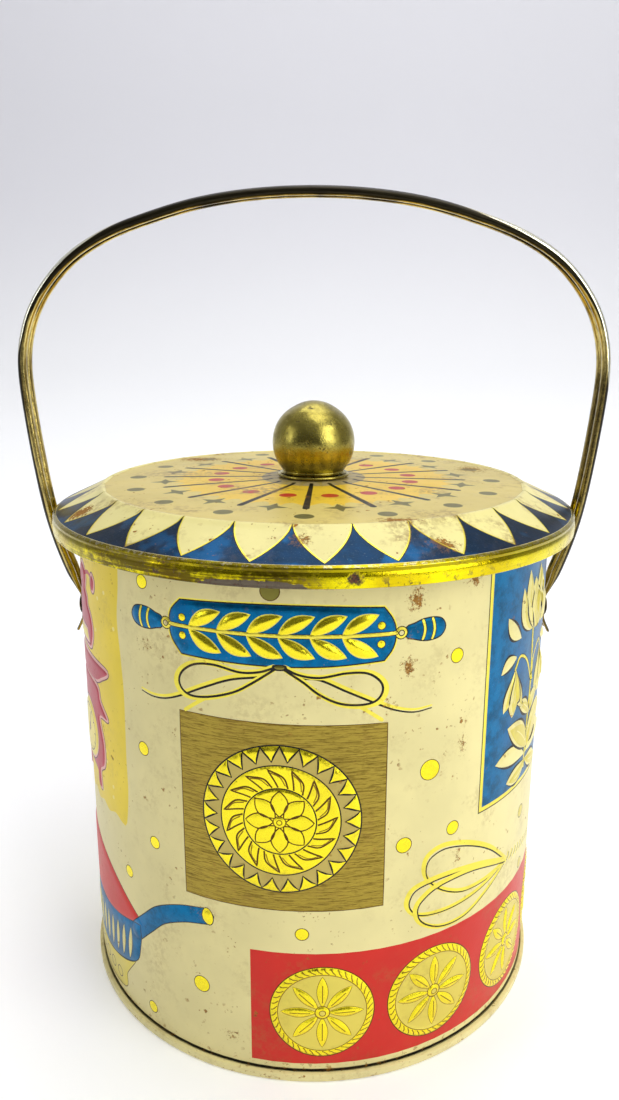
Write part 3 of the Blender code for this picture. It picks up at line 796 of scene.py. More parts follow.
def medallion(art, cx, cz, r):
    """Embossed disc: a ring of teeth, a ring of leaning flames and an eight-petalled flower."""
    k = r / 20.5
    pol = lambda rad, deg: (cx + rad * k * math.cos(math.radians(deg)), cz + rad * k * math.sin(math.radians(deg)))
    art.fill(circle(cx, cz, 21.0 * k), "black")
    art.fill(circle(cx, cz, 20.6 * k), "gold", 0.5, 0.9)
    teeth = 26
    ring = []
    for i in range(teeth):
        a = 360 / teeth * i + 90
        ring += [pol(20.3, a), pol(16.3, a + 180 / teeth)]
    ring = straight(ring, 2.0, True)
    art.line(ring, 1.0, "black", closed=True)
    art.fill(ring, "tan", -0.12, 0.5)
    art.fill(circle(cx, cz, 15.65 * k), "black")
    art.fill(circle(cx, cz, 15.3 * k), "gold", 0.22, 0.6)
    for i in range(15):
        a = 360 / 15 * i + 5
        base_l, base_r, tip = pol(9.6, a), pol(9.6, a + 15), pol(14.7, a + 25)
        c1, c2 = pol(12.4, a + 8.5), pol(11.6, a + 19.5)
        flame = np.vstack([curve([base_l, c1, tip], 0.8), curve([tip, c2, base_r], 0.8)[1:]])
        art.line(flame, 0.46, "brown")
        inner = np.vstack([curve([pol(10.2, a + 4.5), pol(12.5, a + 12.5), pol(13.7, a + 22.5)], 0.9)])
        art.line(inner, 0.3, "umber")
        art.raise_only(np.vstack([curve([base_l, c1, tip], 0.8), curve([tip, c2, base_r], 0.8)[1:]]), 0.13, 0.9)
    art.fill(circle(cx, cz, 9.45 * k), "black")
    art.fill(circle(cx, cz, 9.1 * k), "gold", 0.3, 0.5)
    for i in range(8):
        a = 45 * i + 90
        out, mid = leaf(pol(1.5, a), pol(8.7, a), 4.3 * k, full=0.52, n=13)
        art.line(np.vstack([out, out[:1]]), 0.34, "brown")
        art.raise_only(out, 0.22, 1.4)
    for i in range(8):
        a = 45 * i + 67.5
        art.line(curve([pol(3.6, a), pol(6.2, a)], 1), 0.24, "brown")
    art.fill(circle(cx, cz, 1.75 * k), "brown")
    art.fill(circle(cx, cz, 1.5 * k), "gold", 0.2, 0.5)
    art.fill(circle(cx, cz, 0.8 * k), "brown")
    art.fill(circle(cx, cz, 0.55 * k), "gold")


def board(art, cx, z0, z1, half):
    slab = straight([(cx - half, z0), (cx + half, z0 + 0.4), (cx + half, z1 - 0.3), (cx - half, z1 + 0.2)], 6, True)
    art.line(slab, 0.5, "brown", closed=True)
    art.fill(slab, "wood")


def daisy(art, cx, cz, r):
    """Round biscuit with a twisted edge and an eight-petalled flower."""
    k = r / 14.1
    pol = lambda rad, deg: (cx + rad * k * math.cos(math.radians(deg)), cz + rad * k * math.sin(math.radians(deg)))
    art.fill(circle(cx, cz, 14.4 * k), "brown")
    art.fill(circle(cx, cz, 14.1 * k), "gold", 0.34, 1.0)
    for i in range(44):
        a = 360 / 44 * i
        art.line(curve([pol(12.35, a), pol(13.1, a + 4.6), pol(13.95, a + 6.8)], 0.9), 0.3, "umber")
        art.raise_only(np.array([pol(12.3, a + 1), pol(13.1, a + 5), pol(13.95, a + 8), pol(13.95, a + 14), pol(13.1, a + 11.5), pol(12.3, a + 7.5)]), 0.13, 0.5)
    art.fill(circle(cx, cz, 12.2 * k), "umber")
    art.fill(circle(cx, cz, 11.95 * k), "softgold", -0.25, 0.5)
    for i in range(8):
        a = 45 * i + 90
        out, mid = leaf(pol(1.7, a), pol(11.2, a), 2.9 * k, full=0.5, n=13)
        art.line(np.vstack([out, out[:1]]), 0.34, "umber")
        art.fill(out, "gold", 0.4, 1.0)
        art.line(mid[2:-3], 0.26, "umber")
    art.fill(circle(cx, cz, 2.15 * k), "umber")
    art.fill(circle(cx, cz, 1.85 * k), "gold", 0.35, 0.6)
    art.fill(circle(cx, cz, 1.0 * k), "umber")
    art.fill(circle(cx, cz, 0.75 * k), "softgold")


def whisk(art, x0, z0):
    """Three wire loops and a twisted handle; x0, z0 is where the wires meet."""
    loops = [
        [(0, 0), (-9.2, 8.2), (-18.3, 13.4), (-27.0, 15.9), (-32.2, 14.7), (-34.0, 11.6), (-33.0, 7.4), (-28.5, 3.0), (-21.2, -0.4), (-13.0, -1.2), (-4.9, -0.8), (0, -0.4)],
        [(0, 0), (-13.5, 4.9), (-26.4, 6.8), (-36.0, 5.7), (-38.8, 2.4), (-38.2, -0.8), (-34.6, -3.4), (-25.8, -4.3), (-14.3, -3.3), (-1.1, -0.4)],
        [(0, -0.4), (-16.3, 4.5), (-28.5, 4.5), (-34.8, 1.3), (-36.2, -2.4), (-34.0, -6.2), (-27.9, -9.1), (-19.4, -9.1), (-11.1, -5.9), (-0.6, -0.9)],
    ]
    for lp in loops:
        pts = curve([(x0 + a, z0 + b) for a, b in lp], 0.9)
        art.line(pts, 1.45, "trim", height=0.12)
        art.line(curve([(x0 + a * 0.975 - 0.1, z0 + b * 0.95 - 0.55) for a, b in lp], 0.9), 0.42, "black")
    for i in range(14):
        a = i * 2.6
        x, z = x0 + 0.6 + a * 0.985, z0 - a * 0.145
        art.line(curve([(x - 0.4, z - 1.15), (x + 0.9, z), (x + 1.2, z + 1.15)], 0.9), 0.8, "trim")
        art.line(curve([(x + 0.3, z - 1.1), (x + 1.5, z - 0.1), (x + 1.8, z + 1.0)], 0.9), 0.32, "black")
    art.line(curve([(x0 + 37.5, z0 - 5.4), (x0 + 41, z0 - 6.6), (x0 + 43.0, z0 - 4.6), (x0 + 41.4, z0 - 3.2), (x0 + 37.5, z0 - 5.0)], 0.8), 0.9, "trim")


def tulips(art, cx, z0, z1, half):
    """Blue panel with a yellow border, a flowering stem with an upright flower, hanging bells and leaves."""
    frame_line = straight([(cx - half, z0), (cx + half, z0), (cx + half, z1), (cx - half, z1)], 4, True)
    art.fill(frame_line, "black")
    b = [(cx - half + 0.35, z0 + 0.35), (cx + half - 0.35, z0 + 0.35), (cx + half - 0.35, z1 - 0.1), (cx - half + 0.35, z1 - 0.1)]
    art.fill(straight(b, 4, True), "trim")
    b = [(cx - half + 1.5, z0 + 1.5), (cx + half - 1.5, z0 + 1.5), (cx + half - 1.5, z1 - 0.2), (cx - half + 1.5, z1 - 0.2)]
    art.fill(straight(b, 4, True), "blue")
    zb = z0 + 5.5

    def petal(base, tip, w, bend=0.0, full=0.45, h=0.5, ink="softgold"):
        grown, _ = leaf(base, tip, w + 2.2, bend, full, 11)
        out, mid = leaf(base, tip, w + 0.6, bend, full, 11)
        heart, _ = leaf(base, (base[0] + (tip[0] - base[0]) * 0.93, base[1] + (tip[1] - base[1]) * 0.93), max(0.8, w - 0.9), bend * 0.9, full, 11)
        art.fill(grown, "black")
        art.fill(out, "petal", h, 0.9)
        art.fill(heart, ink)
        art.line(mid[2:-3], 0.34, "petal")

    art.line(curve([(cx - 0.6, zb - 1.0), (cx + 0.3, zb + 14), (cx + 1.2, zb + 26), (cx, zb + 44)], 1.2), 1.5, "black")
    art.line(curve([(cx - 0.6, zb - 1.0), (cx + 0.3, zb + 14), (cx + 1.2, zb + 26), (cx, zb + 44)], 1.2), 1.0, "trim", height=0.25)
    for s in (-1, 1):
        petal((cx, zb + 1.2), (cx + s * 12.4, zb - 1.6), 4.2, s * -0.9, 0.55, ink="softgold")
        petal((cx - 0.2, zb + 3.0), (cx + s * 19.0, zb + 6.6), 4.8, s * 1.3, 0.55, ink="petal")
        petal((cx + 0.2, zb + 5.0), (cx + s * 13.6, zb + 15.8), 6.6, s * 1.5, 0.5)
        petal((cx + 0.6, zb + 15.5), (cx + s * 7.6, zb + 21.4), 3.4, s * 0.8, 0.5)
        stalk = curve([(cx + 0.9, zb + 26.0), (cx + s * 3.4, zb + 33.0), (cx + s * 8.4, zb + 35.6), (cx + s * 11.2, zb + 32.5)], 0.9)
        art.line(stalk, 1.2, "black")
        art.line(stalk, 0.75, "trim", height=0.2)
        top = (cx + s * 11.0, zb + 33.0)
        for dx, dz, w in ((-5.6, -11.8, 3.6), (5.0, -13.2, 3.6), (-0.6, -14.6, 4.6)):
            petal(top, (cx + s * 11.0 + dx, top[1] + dz), w, -0.12 * dx, 0.62)
        petal((cx + s * 10.8, zb + 36.2), (cx + s * 18.6, zb + 33.0), 2.8, s * 0.9, 0.5, ink="petal")
        petal((cx + s * 8.6, zb + 41.0), (cx + s * 16.6, zb + 48.6), 3.4, s * -1.0, 0.5, ink="petal")
    # upright flower
    fz = zb + 41.5
    for dx, dz, w, b_ in ((-8.6, 13.8, 5.0, 2.4), (8.6, 13.8, 5.0, -2.4), (-4.8, 18.0, 5.2, 1.3), (4.8, 18.0, 5.2, -1.3), (0, 15.0, 6.4, 0)):
        petal((cx, fz), (cx + dx, fz + dz), w, b_, 0.42, 0.55)


def mill_and_scale(art, cx, z0, z1, half):
    """Yellow panel with a torn edge, pale spots, a pepper mill and a dial scale."""
    right = [(cx + half + dx, z) for dx, z in zip((0.6, 0.2, -1.2, -0.4, 0.3, 0.1, -0.2, -0.2, -1.8), np.linspace(z1, z0 + 0.5, 9))]
    low = [(cx + half - 4 - i * 4.4, z0 + (0.9 if i % 2 else -0.5)) for i in range(int((2 * half - 6) / 4.4))]
    left = [(cx - half + dx, z) for dx, z in zip((1.2, 0.1, -0.7, 0.3, 0.9, -0.5, 0.2, -0.8, 0.2), np.linspace(z0 + 0.5, z1, 9))]
    edge = np.vstack([curve(right + low, 1.3)[:-1], curve(low[-1:] + left, 1.3)])
    art.fill(edge, "yellow")
    rng = np.random.default_rng(5)
    for i in range(46):
        x, z = cx + rng.uniform(-half + 3, half - 3), rng.uniform(z0 + 4, z1 - 3)
        art.fill(circle(x, z, 0.62), "lemon")

    def solid(pts, ink="rose", h=0.35, sharp=False):
        loop = straight([(cx + x, z0 + z) for x, z in pts], 1.4, True) if sharp else curve([(cx + x, z0 + z) for x, z in pts], 0.9, True)
        art.line(loop, 1.5, "maroon", closed=True)
        art.fill(loop, ink, h, 1.2)
        art.line(loop, 0.75, "blush", closed=True)
        return loop

    # mill: knob, crank, waist, box
    solid([(0, 71.5), (3.4, 70.4), (4.6, 67.4), (3.2, 64.2), (5.2, 62.2), (5.4, 60.0), (8.4, 57.2), (9.6, 53.0), (8.2, 49.4), (5.4, 47.2),
           (-5.4, 47.2), (-8.2, 49.4), (-9.6, 53.0), (-8.4, 57.2), (-5.4, 60.0), (-5.2, 62.2), (-3.2, 64.2), (-4.6, 67.4), (-3.4, 70.4)])
    solid([(-6.4, 49.0), (6.4, 49.0), (4.4, 52.6), (-4.4, 52.6)], "softgold", 0.2, True)
    crank = curve([(cx + 3.2, z0 + 69.0), (cx + 8.0, z0 + 70.0), (cx + 11.2, z0 + 67.4)], 0.9)
    art.line(crank, 1.2, "rose")
    solid([(11.2, 70.4), (13.0, 68.8), (12.4, 66.0), (11.0, 65.2), (9.8, 66.4), (9.8, 69.0)])
    # scale: pan, neck, body with dial, feet
    solid([(-17.5, 44.4), (17.5, 44.4), (14.0, 40.2), (7.0, 38.0), (-7.0, 38.0), (-14.0, 40.2)])
    solid([(-9.5, 37.4), (9.5, 37.4), (12.8, 33.0), (17.6, 28.8), (11.4, 27.6), (13.8, 20.0), (13.2, 13.2), (9.2, 9.8), (9.2, 4.0), (6.2, 4.8),
           (5.2, 9.0), (-5.2, 9.0), (-6.2, 4.8), (-9.2, 4.0), (-9.2, 9.8), (-13.2, 13.2), (-13.8, 20.0), (-11.4, 27.6), (-17.6, 28.8), (-12.8, 33.0)])
    art.fill(circle(cx, z0 + 20.4, 10.0), "maroon")
    art.fill(circle(cx, z0 + 20.4, 9.6), "blush")
    art.fill(circle(cx, z0 + 20.4, 9.0), "softgold", 0.3, 0.8)
    art.line(circle(cx, z0 + 20.4, 7.2), 0.35, "brown", closed=True)
    for i in range(12):
        a = math.radians(30 * i)
        art.line(np.array([(cx + 6.0 * math.cos(a), z0 + 20.4 + 6.0 * math.sin(a)), (cx + 7.0 * math.cos(a), z0 + 20.4 + 7.0 * math.sin(a))]), 0.4, "brown")
    art.line(np.array([(cx - 0.8, z0 + 18.6), (cx + 2.6, z0 + 25.6)]), 0.7, "brown")
    art.fill(circle(cx, z0 + 20.4, 1.2), "brown")


def saucepan(art, cx, cz):
    """Blue fluted pan with a red heap in it, a gold foot and a curved handle to the right."""
    def P(pts):
        return [(cx + x, cz + z) for x, z in pts]
    heap = np.vstack([curve(P([(-31.5, 8.0), (-20, 16.0), (-8, 19.0), (6, 15.6), (18, 10.6), (31.8, 2.4)]), 1.3),
                      curve(P([(31.8, 2.4), (14, -2.0), (0, -3.0), (-14, -2.0), (-31.5, 8.0)]), 1.3)[1:-1]])
    art.line(heap, 0.6, "black", closed=True)
    art.fill(heap, "red", 0.3, 1.5)
    foot = np.vstack([curve(P([(-26.5, -12.6), (-12, -18.0), (0, -19.4), (12, -18.0), (26.5, -12.6)]), 1.3),
                      curve(P([(26.5, -12.6), (21, -19.8), (17.0, -26.5), (-17.0, -26.5), (-21, -19.8), (-26.5, -12.6)]), 1.3)[1:-1]])
    art.line(foot, 0.5, "brown", closed=True)
    art.fill(foot, "softgold", 0.25, 1.2)
    for i in range(-3, 4):
        art.line(circle(cx + i * 5.4, cz - 22.3, 1.7), 0.3, "brown", closed=True)
    handle = curve(P([(28.5, -0.6), (33.6, 4.4), (39.5, 9.8), (47.5, 13.6), (55.2, 15.4)]), 1.0)
    art.line(handle, 5.9, "black", taper=lambda t: 1.0 - 0.12 * t)
    art.line(handle, 5.3, "blue", taper=lambda t: 1.0 - 0.12 * t, height=0.35)
    art.fill(circle(cx + 55.8, cz + 15.5, 1.75, ry=2.75, turn=0.2), "black")
    art.fill(circle(cx + 55.8, cz + 15.5, 1.5, ry=2.5, turn=0.2), "gold", 0.3, 0.8)
    bowl = np.vstack([curve(P([(-31.6, 7.6), (-16, -1.2), (0, -3.4), (16, -1.6), (30.5, 2.0)]), 1.3),
                      curve(P([(30.5, 2.0), (29.6, -5.0), (26.6, -12.2), (14, -17.2), (0, -19.0), (-14, -17.2), (-26.6, -12.2), (-31.0, -4.0), (-31.6, 7.6)]), 1.3)[1:-1]])
    art.line(bowl, 0.6, "black", closed=True)
    art.fill(bowl, "blue", 0.3, 1.5)
    for i in range(-6, 7):
        x = i * 4.2
        sag = (x / 31.0) ** 2
        out, mid = leaf((cx + x * 0.94, cz - 16.2 + 5.0 * sag), (cx + x, cz - 5.6 + 6.2 * sag), 1.9, 0.0, 0.5, 9)
        art.line(np.vstack([out, out[:1]]), 0.4, "black")
        art.fill(out, "petal", 0.2, 0.7)


def spoons(art, cx, z0):
    """Two crossed wooden spoons."""
    for s in (-1, 1):
        line = curve([(cx - s * 11, z0), (cx + s * 1, z0 + 24), (cx + s * 11, z0 + 44)], 1.2)
        art.line(line, 3.0, "brown")
        art.line(line, 2.4, "wood", height=0.3)
        bowl_ = circle(cx + s * 13.6, z0 + 49.5, 5.2, ry=7.6, turn=-s * 0.42)
        art.line(bowl_, 0.6, "brown", closed=True)
        art.fill(bowl_, "wood", 0.4, 1.6)
        art.line(circle(cx + s * 13.6, z0 + 49.5, 3.6, ry=5.8, turn=-s * 0.42), 0.4, "brown", closed=True)


def spots(art, places):
    for x, z, r, ink in places:
        art.fill(circle(x, z, r + 0.22), "brown")
        art.fill(circle(x, z, r), ink, 0.1, 0.6)


wall = Art()
edge = PI * R

# front
mill_and_scale(wall, -84.5, 63.8, 145.6, 27.6)
saucepan(wall, -84.5, 31.5)
board(wall, -8.2, 52.8, 105.6, 27.0)
medallion(wall, -8.2, 79.2, 20.5)
rolling_pin(wall, -8.4, 128.7)
bow(wall, -8.1, 120.6)
tulips(wall, 74.4, 71.8, 146.6, 25.6)
red0, red1 = -16.6, 212.6
wall.fill(straight([(red0, 4.7), (red1, 4.7), (red1, 39.9), (red0, 39.9)], 6, True), "red")
for i in range(7):
    daisy(wall, 2.9 + 32.35 * i, 21.5, 14.1)
whisk(wall, 64.5, 50.8)
# right, back and left, in the same manner
rolling_pin(wall, 154.0, 128.7)
bow(wall, 154.3, 120.6)
board(wall, 154.2, 52.8, 105.6, 27.0)
medallion(wall, 154.2, 79.2, 20.5)
mill_and_scale(wall, -187.0, 63.8, 145.6, 25.0)
spoons(wall, -135.5, 72.0)
saucepan(wall, -180.0, 31.5)
spots(wall, [
    (-46.6, 138.0, 1.75, "gold"), (-48.9, 91.0, 1.85, "gold"), (-46.1, 63.7, 1.7, "gold"), (-58.8, 48.9, 1.7, "gold"),
    (-31.3, 24.7, 2.35, "gold"), (-50.2, 7.9, 1.7, "gold"), (-2.6, 45.9, 1.7, "gold"), (38.2, 120.3, 1.85, "gold"),
    (31.2, 90.2, 2.75, "gold"), (24.3, 69.9, 2.1, "gold"), (39.4, 71.1, 1.9, "gold"), (74.4, 61.4, 1.9, "softgold"),
    (77.0, 42.6, 1.6, "softgold"), (-10.3, 139.9, 2.3, "olive"), (-113.5, 52.3, 1.8, "olive"),
    (108.0, 136.0, 1.9, "gold"), (110.6, 112.0, 2.3, "gold"), (118.4, 92.0, 1.8, "gold"), (112.0, 76.0, 2.1, "gold"),
    (119.0, 58.0, 1.8, "gold"), (189.5, 96.0, 2.3, "gold"), (200.0, 116.0, 1.9, "gold"), (196.0, 72.0, 1.8, "gold"),
    (203.0, 54.0, 2.1, "gold"), (-118.6, 90.0, 1.9, "gold"), (-152.6, 100.0, 1.8, "gold"), (-135.5, 134.0, 2.2, "gold"),
    (-136.0, 61.0, 1.9, "gold"), (-122.0, 24.0, 2.2, "gold"), (-139.0, 10.5, 1.7, "gold"), (-128.0, 44.0, 1.8, "gold"),
])
# painted shade and dirt: a dark line over the seam, in the joint where the wall meets it
wall.fill(straight([(-edge + 0.02, 2.1), (edge - 0.02, 2.1), (edge - 0.02, 3.0), (-edge + 0.02, 3.0)], 5, True), "black")

COLS = 240
us = np.linspace(-edge, edge, COLS + 1)
zs = np.linspace(Z_LOW, Z_HIGH, 61)
border = np.vstack([
    np.stack([us, np.full(COLS + 1, Z_LOW)], 1)[:-1], np.stack([np.full(61, edge), zs], 1)[:-1],
    np.stack([us[::-1], np.full(COLS + 1, Z_HIGH)], 1)[:-1], np.stack([np.full(61, -edge), zs[::-1]], 1)[:-1],
])
ground = lattice((-edge + 1.0, Z_LOW + 0.8), (edge - 1.0, Z_HIGH - 0.6), 2.5)
flat_v, flat_f, flat_ink = triangulate(wall, [border], ground, 0.86, lambda mid: np.ones(len(mid), bool))
high = pressed(flat_v, wall.press)
# nothing is pressed where the rivets sit, and the mouth and the seam stay true
for s in (-1, 1):
    d = np.hypot(flat_v[:, 0] - s * edge / 2, flat_v[:, 1] - PIVOT)
    high *= np.clip((d - 5.0) / 2.0, 0, 1)
high *= np.clip((flat_v[:, 1] - Z_LOW) / 1.2, 0, 1) * np.clip((Z_HIGH - flat_v[:, 1]) / 3.0, 0, 1)
high = np.minimum(high, 1.15)
theta = flat_v[:, 0] / R
xyz = np.stack([(R + high) * np.sin(theta), -(R + high) * np.cos(theta), flat_v[:, 1]], 1)
# weld the two upright edges at the back
left = np.nonzero(np.abs(flat_v[:, 0] + edge) < 1e-3)[0]
right = np.nonzero(np.abs(flat_v[:, 0] - edge) < 1e-3)[0]
left = left[np.argsort(flat_v[left, 1])]
right = right[np.argsort(flat_v[right, 1])]
assert len(left) == len(right) == 61, (len(left), len(right))
remap = np.arange(len(flat_v))
remap[right] = left
faces = [tuple(f) for f in remap[flat_f]]
verts = [tuple(v * MM) for v in xyz]
inks = list(flat_ink)
names = list(INKS)


def edge_ring(z):
    m = np.nonzero(np.abs(flat_v[:, 1] - z) < 1e-3)[0]
    m = m[np.abs(flat_v[m, 0] - edge) > 1e-3]
    return list(m[np.argsort(flat_v[m, 0])])


top_ring, low_ring = edge_ring(Z_HIGH), edge_ring(Z_LOW)
assert len(top_ring) == COLS and len(low_ring) == COLS, (len(top_ring), len(low_ring))


def spin_ring(r, z, n):
    out = []
    for j in range(n):
        t = (-PI + j * 2 * PI / n)
        out.append(len(verts))
        verts.append((r * math.sin(t) * MM, -r * math.cos(t) * MM, z * MM))
    return out


bead = [(72.3 + 1.1 * math.cos(math.radians(a)), 148.8 + 1.1 * math.sin(math.radians(a))) for a in range(-100, 181, 20)]
inner = [(71.2, 147.0), (71.2, 120.0), (71.2, 90.0), (71.2, 60.0), (71.2, 30.0), (71.2, 1.85), (71.45, 1.85)]
prof = [(71.55, 147.75)] + bead + inner
rings = [top_ring] + [spin_ring(r, z, COLS) for r, z in prof] + [low_ring]
mats_idx = [0] * len(faces)
for i in range(len(rings) - 1):
    a, b = rings[i], rings[i + 1]
    is_in = i >= len(bead) // 2
    for j in range(COLS):
        faces.append((a[j], a[(j + 1) % COLS], b[(j + 1) % COLS], b[j]))
        inks.append(names.index("inside" if is_in else "steel"))
        mats_idx.append(1)
flat_all = np.zeros((len(verts), 2), np.float32)
flat_all[:len(flat_v)] = flat_v
body = add_object("wall_printed", verts, faces, [LITHO, INSIDE], "tin", ("body_wall",), inks, flat_all, mats_idx, sharp=48)
print("wall", len(verts), "points", len(faces), "faces")

# ------------------------------------------------------------------ lid
LCOLS = 252
TOP = [(0, 155.5), (12.5, 155.5), (13.6, 155.42), (15.2, 155.18), (40.0, 154.82), (62.6, 154.32), (63.2, 154.42), (63.8, 154.6), (64.3, 154.56), (64.8, 154.24),
       (65.5, 153.72), (66.2, 153.34), (76.6, 148.5), (77.5, 148.08)]
top_r, top_z = np.array([a for a, _ in TOP]), np.array([b for _, b in TOP])
lid = Art()
pr = lambda r, deg: (r * math.sin(math.radians(deg)), -r * math.cos(math.radians(deg)))
arcp = lambda r, a, b, n: [pr(r, a + (b - a) * i / n) for i in range(n + 1)]
ring_out, ring_in = np.array(arcp(77.42, 0, 360, LCOLS)[:-1]), np.array(arcp(63.9, 0, 360, 180)[:-1])
lid.paint.append(([ring_out, ring_in], "lidblue"))
lid.fill(np.array(arcp(63.8, 0, 360, 180)[:-1]), "topcream")
for k in range(28):
    tip = 1.95 + 360 / 28 * k

    def petal_loop(grow, end):
        left_side, right_side = [], []
        for i in range(11):
            t = i / 10
            off = 6.43 * (1 - t ** 1.6) + math.degrees(grow / 70.0) * (1 - t ** 3)
            r = 63.4 + (end - 63.4) * t
            left_side.append(pr(r, tip - off))
            right_side.append(pr(r, tip + off))
        return np.array(left_side + right_side[::-1][1:])
    lid.fill(petal_loop(0.28, 77.2), "black")
    lid.fill(petal_loop(-0.02, 76.9), "trim")
    lid.fill(petal_loop(-0.32, 76.4), "petal")
lid.fill(np.array(arcp(17.6, 0, 360, 64)[:-1]), "dulled")
for k in range(16):
    a = -2.4 + 22.5 * k
    mid = a + 11.25
    sector = arcp(16.0, a + 2.3, a + 20.2, 4) + [pr(r, a + 21.9) for r in (20, 26, 32, 38, 43.6)]
    sector += [pr(41.0, a + 19.2), pr(39.6, a + 16.8), pr(40.6, a + 14.4), pr(43.4, a + 13.4), pr(40.6, mid), pr(43.4, a + 9.1), pr(40.6, a + 8.1),
               pr(39.6, a + 5.7), pr(41.0, a + 3.3)]
    sector += [pr(r, a + 0.6) for r in (43.6, 38, 32, 26, 20)]
    lid.fill(straight(sector, 2.2, True), "amber")
    star = []
    for i in range(4):
        q = math.radians(90 * i)
        star.append((4.5, q))
        star.append((1.7, q + PI / 4))
    cxs, cys = pr(45.4, mid)
    tilt = math.radians(mid)
    star = [(cxs + r * math.sin(q + tilt), cys - r * math.cos(q + tilt)) for r, q in star]
    lid.fill(straight(star, 1.2, True), "olive")
    lid.fill(circle(*pr(30.0, mid), 2.5), "dot")
    lid.fill(circle(*pr(54.8, a), 2.6, ry=2.6), "olive")
    lid.fill(np.array([pr(10.6, mid - 9), pr(11.4, mid - 4), pr(17.6, mid), pr(11.4, mid + 4), pr(10.6, mid + 9), pr(10.0, mid)]), "tan")
for k in range(16):
    a = -2.4 + 22.5 * k
    lid.line(straight([pr(13.6, a), pr(46.0, a)], 3), 1.9, "black", taper=lambda t: 0.62 + 0.38 * t)
outer_circle = np.array(arcp(77.5, 0, 360, LCOLS)[:-1])
inner_circle = np.array(arcp(9.0, 0, 360, LCOLS)[:-1])
g = lattice((-78, -78), (78, 78), 2.2)
gr = np.hypot(g[:, 0], g[:, 1])
g = g[(gr < 76.6) & (gr > 9.8)]
crease = [np.array(arcp(r, 0.5, 360.5, 200)[:-1]) for r in (12.5, 13.6, 15.2, 62.6, 63.2, 63.8, 64.3, 64.8, 65.5, 66.2, 76.6)]
lv, lf, lk = triangulate(lid, [outer_circle, inner_circle] + crease, g, 0.8,
                         lambda mid: (np.hypot(mid[:, 0], mid[:, 1]) > 8.999))
lr = np.hypot(lv[:, 0], lv[:, 1])
lz = np.interp(lr, top_r, top_z)
verts = [(float(x) * MM, float(y) * MM, float(z) * MM) for (x, y), z in zip(lv, lz)]
faces = [tuple(f) for f in lf]
inks = list(lk)
midx = [0] * len(faces)


def plan_ring(rad):
    m = np.nonzero(np.abs(lr - rad) < 2e-3)[0]
    ang = np.mod(np.arctan2(lv[m, 0], -lv[m, 1]), 2 * PI)
    ang = np.where(ang > 2 * PI - 1e-4, 0, ang)
    return list(m[np.argsort(ang)])


def spin_ring0(r, z, n):
    out = []
    for j in range(n):
        t = j * 2 * PI / n
        out.append(len(verts))
        verts.append((r * math.sin(t) * MM, -r * math.cos(t) * MM, z * MM))
    return out


o_ring, i_ring = plan_ring(77.5), plan_ring(9.0)
assert len(o_ring) == LCOLS and len(i_ring) == LCOLS, (len(o_ring), len(i_ring))
band_prof = [(78.02, 147.82), (78.38, 147.5), (78.45, 147.2), (78.3, 146.9), (78.18, 146.65), (78.3, 146.35), (78.5, 146.0), (78.59, 145.4), (78.6, 144.7),
             (78.58, 144.0), (78.5, 143.4), (78.45, 143.15), (78.52, 142.9), (78.4, 142.68), (78.1, 142.6), (77.75, 142.62), (77.5, 142.8), (77.4, 143.2),
             (77.4, 144.1), (77.7, 144.1), (77.75, 143.2), (78.1, 143.05), (78.25, 143.5), (78.28, 145.6), (78.1, 146.2), (77.9, 146.7), (78.0, 147.2)]
under = [(77.3, 147.75), (76.4, 148.2), (65.0, 153.5), (63.2, 154.15), (40.0, 154.6), (15.2, 154.86), (12.5, 155.2), (9.0, 155.2), (2.3, 155.2), (2.3, 155.5)]
chain = [o_ring] + [spin_ring0(r, z, LCOLS) for r, z in band_prof + under] + [i_ring]
for i in range(len(chain) - 1):
    a, b = chain[i], chain[i + 1]
    for j in range(LCOLS):
        faces.append((b[j], b[(j + 1) % LCOLS], a[(j + 1) % LCOLS], a[j]))
        inks.append(names.index("gold" if i < 18 else "inside"))
        midx.append(1 if i < 18 else 2)
flat_all = np.zeros((len(verts), 2), np.float32)
flat_all[:len(lv)] = lv
add_object("lid_printed", verts, faces, [LID_LITHO, BAND, INSIDE], "lid", ("lid_shell",), inks, flat_all, midx, sharp=50)
print("lid", len(verts), "points", len(faces), "faces")

# ------------------------------------------------------------------ turned pieces
arc = lambda cx, cz, r, a, b, n: [(cx + r * math.cos(math.radians(a + (b - a) * i / n)), cz + r * math.sin(math.radians(a + (b - a) * i / n))) for i in range(n + 1)]

pan = [(0, 2.9), (53.6, 2.9), (54.2, 3.1), (54.8, 3.8), (56.0, 3.95), (57.2, 3.8), (57.8, 3.1), (58.4, 2.9), (69.4, 2.9), (70.2, 2.6), (70.5, 2.2), (70.55, 0.4),
       (70.75, 0.08), (71.2, 0.0), (72.5, 0.0), (72.85, 0.12), (73.0, 0.45), (73.0, 1.8), (72.9, 2.15), (72.6, 2.3), (71.9, 2.3), (71.8, 2.15), (71.8, 2.0),
       (72.5, 1.95), (72.68, 1.75), (72.68, 0.55), (72.5, 0.32), (71.1, 0.32), (70.87, 0.6), (70.84, 2.35), (70.6, 2.9), (69.6, 3.22), (58.5, 3.22), (58.0, 3.45),
       (57.4, 4.15), (56.0, 4.27), (54.6, 4.15), (54.0, 3.45), (53.5, 3.22), (0, 3.22)]
turned("base_rolled", pan, 216, [SEAM], "tin", ("base_pan",), "cream_litho", "cream", 30)

